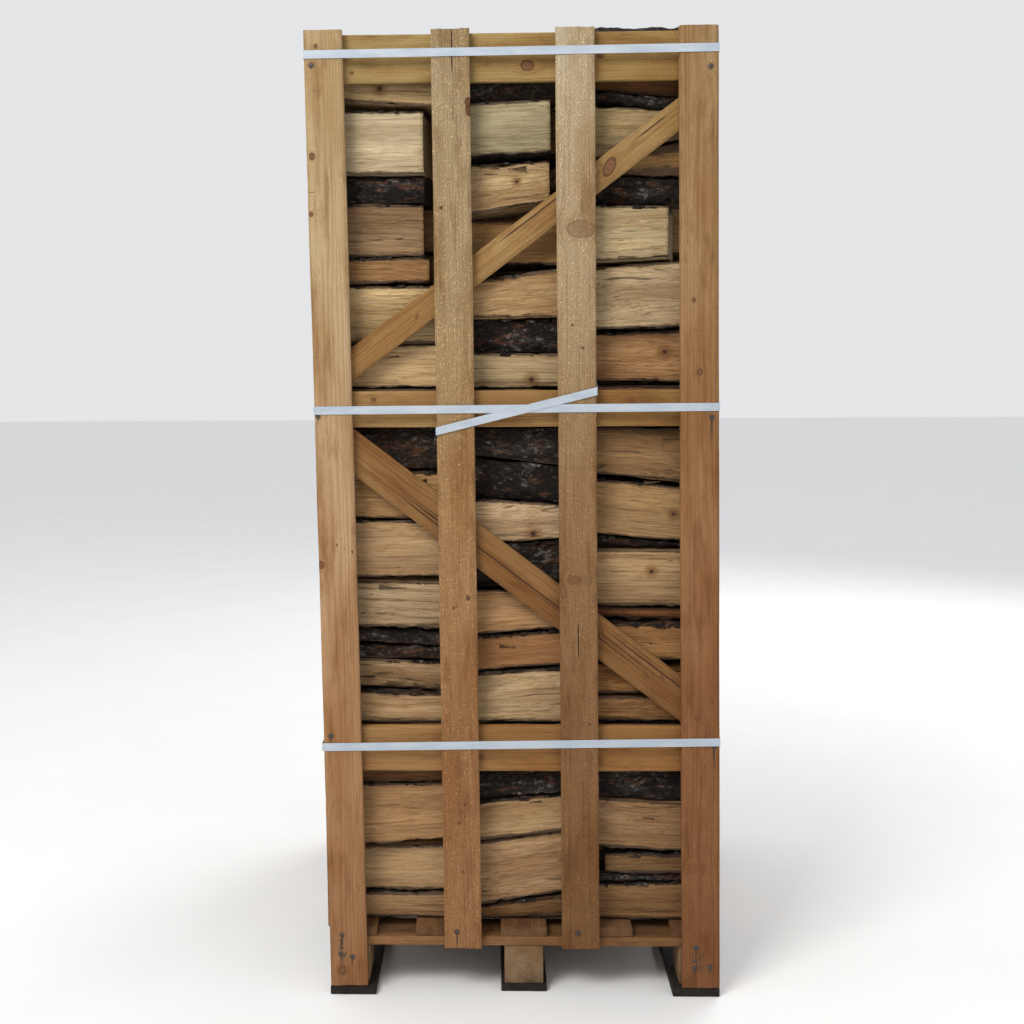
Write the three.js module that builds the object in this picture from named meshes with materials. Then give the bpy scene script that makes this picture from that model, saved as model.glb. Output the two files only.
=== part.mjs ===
// A firewood crate: split logs stacked in three columns inside four slatted softwood panels,
// standing on a small pallet and held by plastic straps. Millimetres, +Z up, front at -Y.
import * as THREE from 'three';

// Outside of the crate, over the slats.
const crateWidth = 800;
const crateDepth = 1000;
const slatTop = 1940;

// How far the top of the crate has racked to the left of its foot.
const rackOffset = 18;

// Sawn stock of the four panels.
const slatWidth = 76;
const slatThickness = 20;
const slatsPerPanel = 4;
const railThickness = 18;
const rails = {
  lower: { bottom: 463, height: 94 },
  middle: { bottom: 1164, height: 73 },
  top: { bottom: 1840, height: 94 },
};

// Height of each brace's centre line at the left and right ends of its panel.
const braces = {
  upper: { width: 53, leftHeight: 1251, rightHeight: 1814, below: rails.top, above: rails.middle },
  lower: { width: 75, leftHeight: 1156, rightHeight: 571, below: rails.middle, above: rails.lower },
};

// The slats of the front and back lean a little out of true, in degrees, on top of the racking.
// The inner two stop in front of the pallet's cross board.
const faceSlatLeans = [-0.34, 0.07, 0.14, 0];
const sideSlatLeans = [0, 0, 0, 0];
const innerSlatFoot = 97;

// Pallet: skids, blocks, cross boards and deck boards, from the ground up. The crate's foot
// stands a little left of its middle.
const palletWidth = 796;
const palletShift = 12;
const skidWidth = 95;
const skidThickness = 18;
const blockWidth = 80;
const blockLength = 100;
const blockHeight = 79;
const crossBoardWidth = 95;
const crossBoardThickness = 20;
const deckBoardWidth = 95;
const deckBoardThickness = 19;
const deckBoardCount = 5;
const deckTop = skidThickness + blockHeight + crossBoardThickness + deckBoardThickness;

// Log columns: the logs are 25 cm class and end a little short of that.
const logLength = 238;
const columnSpacing = 241;
const logStackDepth = 918;
const logStackTops = { left: 1925, middle: 1925, right: 1957 };
const logEndProud = 15;

// Plastic straps round the whole crate, and one short tie round the two inner slats.
const strapWidth = 16;
const strapThickness = 0.9;
const straps = {
  top: { height: 1894.5, rise: 4.5 },
  middle: { height: 1201, rise: 3.5 },
  lower: { height: 524, rise: 11.5 },
};
const tie = { leftHeight: 1157, rightHeight: 1235, clearance: 1 };

// Clearance between parts that touch in the real crate.
const gap = 0.3;

const panelInset = slatThickness + railThickness;
const palletLength = crateDepth - 2 * slatThickness;
const rackSlope = rackOffset / (slatTop - deckTop);
const outerSlatFoot = skidThickness + gap;
const faceSlatFeet = [outerSlatFoot, innerSlatFoot, innerSlatFoot, outerSlatFoot];

function softwood(color) {
  return new THREE.MeshStandardMaterial({ color, roughness: 0.8, metalness: 0 });
}

function paleSoftwood() {
  return softwood(0xd2b182);
}

function warmSoftwood() {
  return softwood(0xb98a4e);
}

function dirtyBoard() {
  return softwood(0x2b2017);
}

function splitFirewood() {
  return new THREE.MeshStandardMaterial({ color: 0xb9925f, roughness: 0.85, metalness: 0 });
}

function whitePlastic() {
  return new THREE.MeshStandardMaterial({ color: 0xdcdcd6, roughness: 0.4, metalness: 0 });
}

function addMesh(parent, name, geometry, material) {
  const mesh = new THREE.Mesh(geometry, material);
  mesh.name = name;
  parent.add(mesh);
  return mesh;
}

// A straight board that fills the box from low to high, each [x, y, z].
function addBoard(parent, name, low, high, material) {
  const size = high.map((value, i) => value - low[i]);
  const board = addMesh(parent, name, new THREE.BoxGeometry(...size), material);
  board.position.set(...low.map((value, i) => value + size[i] / 2));
  return board;
}

// Cuts a convex outline down to the points where side(point) is not negative.
function clipOutline(points, side) {
  const kept = [];
  points.forEach((point, i) => {
    const next = points[(i + 1) % points.length];
    const here = side(point);
    const there = side(next);
    if (here >= 0) {
      kept.push(point);
    }
    if (here * there < 0) {
      kept.push(point.clone().lerp(next, here / (here - there)));
    }
  });
  return kept;
}

// Turns an outline in X and Z into a plate, thickness deep, with its outer face at y = front.
function uprightPlate(points, front, thickness) {
  const plate = new THREE.ExtrudeGeometry(new THREE.Shape(points), { depth: thickness, bevelEnabled: false });
  plate.rotateX(Math.PI / 2);
  plate.translate(0, front + thickness, 0);
  return plate;
}

function buildPallet() {
  const pallet = new THREE.Group();
  const halfWidth = palletWidth / 2;
  const halfLength = palletLength / 2;
  const sides = { left: -1, centre: 0, right: 1 };
  const rows = { front: -1, middle: 0, back: 1 };
  const blockTop = skidThickness + blockHeight;
  const crossTop = blockTop + crossBoardThickness;

  for (const [side, offset] of Object.entries(sides)) {
    const skidX = offset * (halfWidth - skidWidth / 2);
    const skidEnd = offset === 0 ? halfLength : crateDepth / 2;
    addBoard(pallet, `skid_${side}`, [skidX - skidWidth / 2, -skidEnd, 0],
      [skidX + skidWidth / 2, skidEnd, skidThickness], dirtyBoard());
    const blockX = offset * (halfWidth - blockWidth / 2);
    for (const [row, step] of Object.entries(rows)) {
      const blockY = step * (halfLength - blockLength / 2);
      addBoard(pallet, `block_${row}_${side}`,
        [blockX - blockWidth / 2, blockY - blockLength / 2, skidThickness],
        [blockX + blockWidth / 2, blockY + blockLength / 2, blockTop], warmSoftwood());
    }
  }
  for (const [row, step] of Object.entries(rows)) {
    const crossY = step * (halfLength - crossBoardWidth / 2);
    addBoard(pallet, `cross_board_${row}`, [-halfWidth, crossY - crossBoardWidth / 2, blockTop],
      [halfWidth, crossY + crossBoardWidth / 2, crossTop], warmSoftwood());
  }
  for (let i = 0; i < deckBoardCount; i += 1) {
    const deckX = (i / (deckBoardCount - 1) - 0.5) * (palletWidth - deckBoardWidth);
    addBoard(pallet, `deck_board_${i + 1}`, [deckX - deckBoardWidth / 2, -halfLength, crossTop],
      [deckX + deckBoardWidth / 2, halfLength, deckTop], warmSoftwood());
  }
  pallet.position.x = palletShift;
  return pallet;
}

// Middle of a slat across its wall, before any lean.
function slatCentre(index, width) {
  return (index / (slatsPerPanel - 1) - 0.5) * (width - slatWidth);
}

// How far a slat that leans by angle has moved sideways at a height.
function leanShift(angle, foot, height) {
  const middleHeight = (foot + slatTop) / 2;
  return (height - middleHeight) * Math.tan(THREE.MathUtils.degToRad(angle));
}

// One wall of the crate, seen from outside: slats on the outer face and level rails behind them.
// width is the run of the slats, distance is from the crate's axis to the outer face.
function buildPanel(name, width, distance, railLength, slatFeet, leans) {
  const panel = new THREE.Group();
  const slatBack = -distance + slatThickness;
  const railFront = slatBack + gap;
  leans.forEach((lean, i) => {
    const centre = slatCentre(i, width);
    const slat = addBoard(panel, `${name}_slat_${i + 1}`, [centre - slatWidth / 2, -distance, slatFeet[i]],
      [centre + slatWidth / 2, slatBack, slatTop], paleSoftwood());
    slat.rotation.y = THREE.MathUtils.degToRad(lean);
  });
  for (const [height, rail] of Object.entries(rails)) {
    addBoard(panel, `${name}_${height}_rail`, [-railLength / 2, railFront, rail.bottom],
      [railLength / 2, railFront + railThickness, rail.bottom + rail.height], warmSoftwood());
  }
  return panel;
}

// A slanting board in the layer of the rails, cut level against the rail above and below it.
function addBrace(panel, name, brace, length, front) {
  const half = length / 2;
  const slope = (brace.rightHeight - brace.leftHeight) / length;
  const halfRise = (brace.width / 2) * Math.hypot(1, slope);
  const corners = [
    new THREE.Vector2(-half, brace.leftHeight - halfRise),
    new THREE.Vector2(half, brace.rightHeight - halfRise),
    new THREE.Vector2(half, brace.rightHeight + halfRise),
    new THREE.Vector2(-half, brace.leftHeight + halfRise),
  ];
  const floor = brace.above.bottom + brace.above.height + gap;
  const ceiling = brace.below.bottom - gap;
  const trimmed = clipOutline(clipOutline(corners, (p) => p.y - floor), (p) => ceiling - p.y);
  addMesh(panel, name, uprightPlate(trimmed, front, railThickness), warmSoftwood());
}

function buildFace(name) {
  const railLength = crateWidth - 2 * slatThickness - 2 * gap;
  const face = buildPanel(name, crateWidth, crateDepth / 2, railLength, faceSlatFeet, faceSlatLeans);
  for (const [height, brace] of Object.entries(braces)) {
    addBrace(face, `${name}_${height}_brace`, brace, railLength, slatThickness + gap - crateDepth / 2);
  }
  return face;
}

function buildSide(name) {
  const width = palletLength - 2 * gap;
  const railLength = palletLength - 2 * railThickness - 4 * gap;
  const feet = sideSlatLeans.map(() => deckTop);
  return buildPanel(name, width, crateWidth / 2, railLength, feet, sideSlatLeans);
}

// Outline in X and Z of a column of logs. On an outside column the log ends come forward
// between the side rails. It is drawn for the right of the crate and mirrored for the left.
function logColumnOutline(position, top) {
  const centre = Math.abs(position) * columnSpacing;
  const inner = centre - logLength / 2;
  const outer = centre + logLength / 2;
  const proud = outer + logEndProud;
  const corners = [[inner, top], [inner, deckTop]];
  if (position === 0) {
    corners.push([outer, deckTop]);
  } else {
    corners.push([proud, deckTop]);
    for (const rail of [rails.lower, rails.middle]) {
      const under = rail.bottom - gap;
      const over = rail.bottom + rail.height + gap;
      corners.push([proud, under], [outer, under], [outer, over], [proud, over]);
    }
    corners.push([proud, rails.top.bottom - gap], [outer, rails.top.bottom - gap]);
  }
  corners.push([outer, top]);
  const mirror = position < 0 ? -1 : 1;
  return corners.map(([x, z]) => new THREE.Vector2(mirror * x, z));
}

function addLogColumn(parent, name, position) {
  const outline = logColumnOutline(position, logStackTops[name]);
  const column = uprightPlate(outline, -logStackDepth / 2, logStackDepth);
  addMesh(parent, `logs_${name}`, column, splitFirewood());
}

// A flat closed band, strapWidth high, laid round corners that run anticlockwise in plan.
// Each corner has its place, the height of the band's middle there and the way out of the loop.
function bandGeometry(corners) {
  const section = [[0, -0.5], [1, -0.5], [1, 0.5], [0, 0.5]];
  const positions = corners.flatMap(({ x, y, height, out }) => section.flatMap(([depth, level]) => [
    x + out[0] * depth * strapThickness,
    y + out[1] * depth * strapThickness,
    height + level * strapWidth,
  ]));
  const indices = corners.flatMap((_, i) => section.flatMap((__, k) => {
    const here = i * section.length;
    const next = ((i + 1) % corners.length) * section.length;
    const other = (k + 1) % section.length;
    return [here + k, next + k, next + other, here + k, next + other, here + other];
  }));
  const band = new THREE.BufferGeometry();
  band.setAttribute('position', new THREE.Float32BufferAttribute(positions, 3));
  band.setIndex(indices);
  band.computeVertexNormals();
  return band;
}

// A strap round the crate bears on the outermost wood at each corner: where the first slat of
// the front or back leans outward, it is pushed out by the slat.
function addStrap(parent, name, { height, rise }) {
  const y = crateDepth / 2 + gap;
  const x = crateWidth / 2 + gap;
  const pushed = x + Math.max(0, -leanShift(faceSlatLeans[0], outerSlatFoot, height));
  const low = height - rise / 2;
  const high = height + rise / 2;
  const band = bandGeometry([
    { x: -pushed, y: -y, height: low, out: [-1, -1] },
    { x, y: -y, height: high, out: [1, -1] },
    { x: pushed, y, height: high, out: [1, 1] },
    { x: -x, y, height: low, out: [-1, 1] },
  ]);
  addMesh(parent, name, band, whitePlastic());
}

// The tie crosses the two inner slats and the middle strap, and goes in under the middle rail
// on the left and over it on the right.
function addTie(parent) {
  const [, leftLean, rightLean] = faceSlatLeans;
  const rightInnerSlat = slatsPerPanel - 2;
  const edge = slatCentre(rightInnerSlat, crateWidth) + slatWidth / 2 + gap;
  const left = -edge + Math.min(0, leanShift(leftLean, innerSlatFoot, tie.leftHeight));
  const right = edge + Math.max(0, leanShift(rightLean, innerSlatFoot, tie.rightHeight));
  const front = -crateDepth / 2 - gap - strapThickness - gap;
  const betweenBoards = -crateDepth / 2 + slatThickness - strapThickness;
  const back = -crateDepth / 2 + panelInset + 2 * gap;
  const under = rails.middle.bottom - strapWidth / 2 - tie.clearance;
  const over = rails.middle.bottom + rails.middle.height + strapWidth / 2 + tie.clearance;
  const band = bandGeometry([
    { x: left, y: front, height: tie.leftHeight, out: [-1, -1] },
    { x: right, y: front, height: tie.rightHeight, out: [1, -1] },
    { x: right, y: betweenBoards, height: over, out: [1, 0] },
    { x: right, y: back, height: over, out: [1, 1] },
    { x: left, y: back, height: under, out: [-1, 1] },
    { x: left, y: betweenBoards, height: under, out: [-1, 0] },
  ]);
  addMesh(parent, 'strap_tie', band, whitePlastic());
}

function buildCrate() {
  const crate = new THREE.Group();
  crate.add(buildFace('front'));
  const back = buildFace('back');
  back.rotation.z = Math.PI;
  crate.add(back);
  const left = buildSide('left');
  left.rotation.z = -Math.PI / 2;
  crate.add(left);
  const right = buildSide('right');
  right.rotation.z = Math.PI / 2;
  crate.add(right);
  addLogColumn(crate, 'left', -1);
  addLogColumn(crate, 'middle', 0);
  addLogColumn(crate, 'right', 1);
  for (const [height, strap] of Object.entries(straps)) {
    addStrap(crate, `strap_${height}`, strap);
  }
  addTie(crate);
  // The racked crate: every level stays level and slides left in step with its height.
  crate.matrixAutoUpdate = false;
  crate.matrix.set(
    1, 0, -rackSlope, rackOffset / 2 + rackSlope * deckTop,
    0, 1, 0, 0,
    0, 0, 1, 0,
    0, 0, 0, 1,
  );
  return crate;
}

const group = new THREE.Group();
group.add(buildPallet());
group.add(buildCrate());

// The origin is at the middle of the bottom of the whole crate.
group.updateMatrixWorld(true);
const middle = new THREE.Box3().setFromObject(group, true).getCenter(new THREE.Vector3());
group.position.set(-middle.x, -middle.y, 0);
group.updateMatrixWorld(true);

export default group;
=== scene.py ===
import math

import bpy
import numpy as np
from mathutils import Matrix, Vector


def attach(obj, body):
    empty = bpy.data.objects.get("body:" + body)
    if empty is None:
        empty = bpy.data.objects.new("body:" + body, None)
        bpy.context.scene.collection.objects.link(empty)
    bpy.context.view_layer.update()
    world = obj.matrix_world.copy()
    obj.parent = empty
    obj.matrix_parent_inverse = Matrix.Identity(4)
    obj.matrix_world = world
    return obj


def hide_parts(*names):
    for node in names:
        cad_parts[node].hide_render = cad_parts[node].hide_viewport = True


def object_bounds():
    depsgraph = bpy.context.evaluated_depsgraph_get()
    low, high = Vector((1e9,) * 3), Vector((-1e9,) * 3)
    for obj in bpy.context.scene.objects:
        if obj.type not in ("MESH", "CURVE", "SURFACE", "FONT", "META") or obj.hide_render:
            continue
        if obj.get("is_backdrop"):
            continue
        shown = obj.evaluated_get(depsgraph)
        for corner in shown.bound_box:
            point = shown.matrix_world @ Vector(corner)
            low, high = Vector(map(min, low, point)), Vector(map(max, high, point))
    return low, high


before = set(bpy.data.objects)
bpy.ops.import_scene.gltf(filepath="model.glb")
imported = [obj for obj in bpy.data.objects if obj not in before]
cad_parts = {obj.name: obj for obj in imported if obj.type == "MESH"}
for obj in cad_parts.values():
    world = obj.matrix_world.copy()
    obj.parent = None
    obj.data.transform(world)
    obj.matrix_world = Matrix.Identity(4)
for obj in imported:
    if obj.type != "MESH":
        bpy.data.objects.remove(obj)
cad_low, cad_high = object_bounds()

viewer = bpy.data.objects.new("viewer", bpy.data.cameras.new("viewer"))
viewer.data.sensor_width = 36
viewer.data.lens = 49.22
viewer.data.shift_x = 0.0596
viewer.data.shift_y = -0.0340
viewer.location = (-0.0464, -3.2734, 1.2876)
viewer.rotation_euler = [math.radians(turn) for turn in (85.428, 0.353, 1.677)]
bpy.context.scene.collection.objects.link(viewer)
bpy.context.scene.camera = viewer
bpy.context.scene.view_settings.view_transform = "Standard"


# ---------------------------------------------------------------- floor and lights
# A pale studio floor that fades into a pale room, a large soft lamp above and to the left in
# front of the crate, and a weaker one behind it so that no side is left black.
def paint(red, green, blue, strength=1.0):
    """A colour as a paint chart gives it, 0 to 255, as the amounts of light it sends back."""
    back = []
    for part in (red, green, blue):
        part = part / 255
        part = part / 12.92 if part <= 0.04045 else ((part + 0.055) / 1.055) ** 2.4
        back.append(min(1.0, part * strength))
    return (*back, 1.0)


class Finish:
    """A material being mixed: each method adds one step and returns its result."""

    def __init__(self, name, roughness=0.8, gloss=0.5):
        self.material = bpy.data.materials.new(name)
        self.material.use_nodes = True
        self.tree = self.material.node_tree
        self.surface = self.tree.nodes["Principled BSDF"]
        self.surface.inputs["Roughness"].default_value = roughness
        self.surface.inputs["Specular IOR Level"].default_value = gloss

    def step(self, kind, **settings):
        made = self.tree.nodes.new("ShaderNode" + kind)
        for key, value in settings.items():
            setattr(made, key, value)
        return made

    def feed(self, socket, value):
        if hasattr(value, "is_output"):
            self.tree.links.new(value, socket)
        else:
            socket.default_value = value

    def from_mesh(self, name, colour=False):
        made = self.step("Attribute", attribute_name=name, attribute_type="GEOMETRY")
        return made.outputs["Color" if colour else "Vector"]

    def number_from_mesh(self, name):
        made = self.step("Attribute", attribute_name=name, attribute_type="GEOMETRY")
        return made.outputs["Fac"]

    def sum(self, operation, first, second=0.0, third=0.0):
        made = self.step("Math", operation=operation)
        for socket, value in zip(made.inputs, (first, second, third)):
            self.feed(socket, value)
        return made.outputs[0]

    def times(self, first, second):
        return self.sum("MULTIPLY", first, second)

    def plus(self, first, second):
        return self.sum("ADD", first, second)

    def minus(self, first, second):
        return self.sum("SUBTRACT", first, second)

    def scaled(self, value, by, more):
        return self.sum("MULTIPLY_ADD", value, by, more)

    def bands(self, value, spacing):
        """Waves that repeat once in each spacing."""
        return self.sum("SINE", self.times(value, 6.283 / spacing))

    def stretch(self, vector, along, across, through):
        made = self.step("VectorMath", operation="MULTIPLY")
        self.feed(made.inputs[0], vector)
        made.inputs[1].default_value = (along, across, through)
        return made.outputs[0]

    def grain(self, vector, lumps, detail=3.0, rough=0.55, bend=0.0):
        """Noise with so many lumps to a metre, along, across and through the wood."""
        made = self.step("TexNoise")
        made.inputs["Scale"].default_value = 1.0
        made.inputs["Detail"].default_value = detail
        made.inputs["Roughness"].default_value = rough
        made.inputs["Distortion"].default_value = bend
        self.feed(made.inputs["Vector"], self.stretch(vector, *lumps))
        return made.outputs["Fac"]

    def fade(self, value, start, end, low=0.0, high=1.0):
        made = self.step("MapRange", interpolation_type="SMOOTHSTEP", clamp=True)
        self.feed(made.inputs["Value"], value)
        for key, amount in (("From Min", start), ("From Max", end), ("To Min", low), ("To Max", high)):
            made.inputs[key].default_value = amount
        return made.outputs["Result"]

    def mix(self, amount, first, second, blend="MIX"):
        made = self.step("Mix", data_type="RGBA", blend_type=blend)
        self.feed(made.inputs[0], amount)
        self.feed(made.inputs[6], first)
        self.feed(made.inputs[7], second)
        return made.outputs[2]

    def tinted(self, colour, red, green, blue):
        return self.mix(1.0, colour, (red, green, blue, 1), "MULTIPLY")

    def parts(self, vector):
        made = self.step("SeparateXYZ")
        self.feed(made.inputs[0], vector)
        return made.outputs

    def join(self, along, across, through):
        made = self.step("CombineXYZ")
        for socket, value in zip(made.inputs, (along, across, through)):
            self.feed(socket, value)
        return made.outputs[0]

    def length(self, vector):
        made = self.step("VectorMath", operation="LENGTH")
        self.feed(made.inputs[0], vector)
        return made.outputs["Value"]

    def relief(self, height, depth, strength=1.0):
        made = self.step("Bump")
        made.inputs["Distance"].default_value = depth
        made.inputs["Strength"].default_value = strength
        self.feed(made.inputs["Height"], height)
        return made.outputs["Normal"]

    def done(self, colour, roughness=None, normal=None):
        self.feed(self.surface.inputs["Base Color"], colour)
        if roughness is not None:
            self.feed(self.surface.inputs["Roughness"], roughness)
        if normal is not None:
            self.feed(self.surface.inputs["Normal"], normal)
        return self.material


floor_finish = Finish("floor_paint", roughness=0.9, gloss=0.1)
floor_place = floor_finish.step("TexCoord").outputs["Object"]
floor_mottle = floor_finish.grain(floor_place, (3, 3, 3))
floor_colour = floor_finish.mix(floor_mottle, (0.83, 0.83, 0.83, 1), (0.88, 0.88, 0.88, 1))
floor_finish.done(floor_colour)

floor_reach = 30
floor_mesh = bpy.data.meshes.new("floor")
floor_mesh.from_pydata(
    [(-floor_reach, -floor_reach, 0), (floor_reach, -floor_reach, 0),
     (floor_reach, floor_reach, 0), (-floor_reach, floor_reach, 0)], [], [(0, 1, 2, 3)])
floor_mesh.materials.append(floor_finish.material)
floor = bpy.data.objects.new("floor", floor_mesh)
bpy.context.scene.collection.objects.link(floor)
floor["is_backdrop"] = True

room = bpy.data.worlds.new("room")
bpy.context.scene.world = room
room.use_nodes = True
room.node_tree.nodes["Background"].inputs["Color"].default_value = (0.97, 0.985, 1.0, 1)
room.node_tree.nodes["Background"].inputs["Strength"].default_value = 0.80


def soft_lamp(name, place, aim, size, power, colour):
    lamp = bpy.data.lights.new(name, "AREA")
    lamp.size = size
    lamp.energy = power
    lamp.color = colour
    holder = bpy.data.objects.new(name, lamp)
    holder.location = place
    away = np.array(place) - np.array(aim)
    holder.rotation_euler = (
        math.atan2(math.hypot(away[0], away[1]), away[2]), 0, math.atan2(away[0], -away[1]))
    bpy.context.scene.collection.objects.link(holder)


soft_lamp("front_lamp", (-1.9, -3.4, 3.9), (0, -0.4, 1.2), 1.8, 150, (1.0, 0.985, 0.95))
soft_lamp("back_lamp", (2.6, 3.6, 3.2), (0, 0.4, 1.0), 2.4, 90, (1.0, 0.985, 0.95))


# ---------------------------------------------------------------- front and back slats
# Rough-sawn softwood slats, four to a panel, nailed over the rails from outside. The front
# ones carry fuzzy saw fibres, a few knots, and black streaks where rain ran off the nails.
def crumbs(place, seed=0):
    """Smooth random lumps from -1 to 1 at the points of an array, one lump to a unit."""
    low = np.floor(place).astype(np.int64)
    part = place - low
    part = part * part * (3 - 2 * part)
    total = np.zeros(place.shape[:-1])
    for corner in range(8):
        step = np.array([corner & 1, corner >> 1 & 1, corner >> 2 & 1])
        mark = low + step
        mixed = mark[..., 0] * 374761393 + mark[..., 1] * 668265263
        mixed = mixed + mark[..., 2] * 2147483647 + seed * 144665
        mixed = (mixed ^ (mixed >> 13)) * 1274126177
        mixed = (mixed ^ (mixed >> 16)) & 0xFFFF
        share = np.prod(np.where(step == 1, part, 1 - part), axis=-1)
        total += share * (mixed / 32767.5 - 1)
    return total


def finished_piece(name, points, faces, finish, slot=None, stands_for=(), notes=None, flat=None):
    """A mesh object from its points and faces, with its notes for the finish, riding the crate."""
    mesh = bpy.data.meshes.new(name)
    mesh.from_pydata(np.asarray(points).tolist(), [], faces)
    for key, values in (notes or {}).items():
        values = np.asarray(values, dtype=float)
        if values.ndim == 1:
            held = mesh.attributes.new(key, "FLOAT", "FACE" if len(values) == len(faces) else "POINT")
            held.data.foreach_set("value", values)
        elif values.shape[1] == 4:
            held = mesh.attributes.new(key, "FLOAT_COLOR", "POINT")
            held.data.foreach_set("color", values.ravel())
        else:
            held = mesh.attributes.new(key, "FLOAT_VECTOR", "POINT")
            held.data.foreach_set("vector", values.ravel())
    mesh.materials.append(finish)
    mesh.validate()
    mesh.shade_smooth()
    if flat is not None:
        mesh.polygons.foreach_set("use_smooth", np.logical_not(flat))
    piece = bpy.data.objects.new(name, mesh)
    bpy.context.scene.collection.objects.link(piece)
    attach(piece, "root")
    for node in stands_for:
        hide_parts(node)
    return piece


def tube_faces(rows, ring, start=0):
    """Four-sided faces between rings of points that follow each other along a piece."""
    faces = []
    for row in range(rows - 1):
        here, ahead = start + row * ring, start + (row + 1) * ring
        for spot in range(ring):
            beside = (spot + 1) % ring
            faces.append((here + spot, here + beside, ahead + beside, ahead + spot))
    return faces


def node_points(node):
    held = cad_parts[node].data.vertices
    return np.array(sorted({tuple(round(c, 5) for c in v.co) for v in held}))


def straight_board(node, run, face, through, outer):
    """Where a point of a board lies: shares along, across and through it, from its outer face."""
    points = node_points(node)
    corners = np.zeros((2, 2, 2, 3))
    by_run = points[np.argsort(points[:, run])]
    for i, ends in enumerate((by_run[:4], by_run[4:])):
        by_face = ends[np.argsort(ends[:, face])]
        for j, edge in enumerate((by_face[:2], by_face[2:])):
            corners[i, j] = edge[np.argsort(edge[:, through] * -outer)]
    sizes = [np.linalg.norm(corners[1, 0, 0] - corners[0, 0, 0]),
             np.linalg.norm(corners[0, 1, 0] - corners[0, 0, 0]),
             np.linalg.norm(corners[0, 0, 1] - corners[0, 0, 0])]

    def place(along, across, deep):
        spot = 0
        for i, a in enumerate((1 - along, along)):
            for j, b in enumerate((1 - across, across)):
                for k, c in enumerate((1 - deep, deep)):
                    spot = spot + (a * b * c)[..., None] * corners[i, j, k]
        return spot

    return place, sizes


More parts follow.
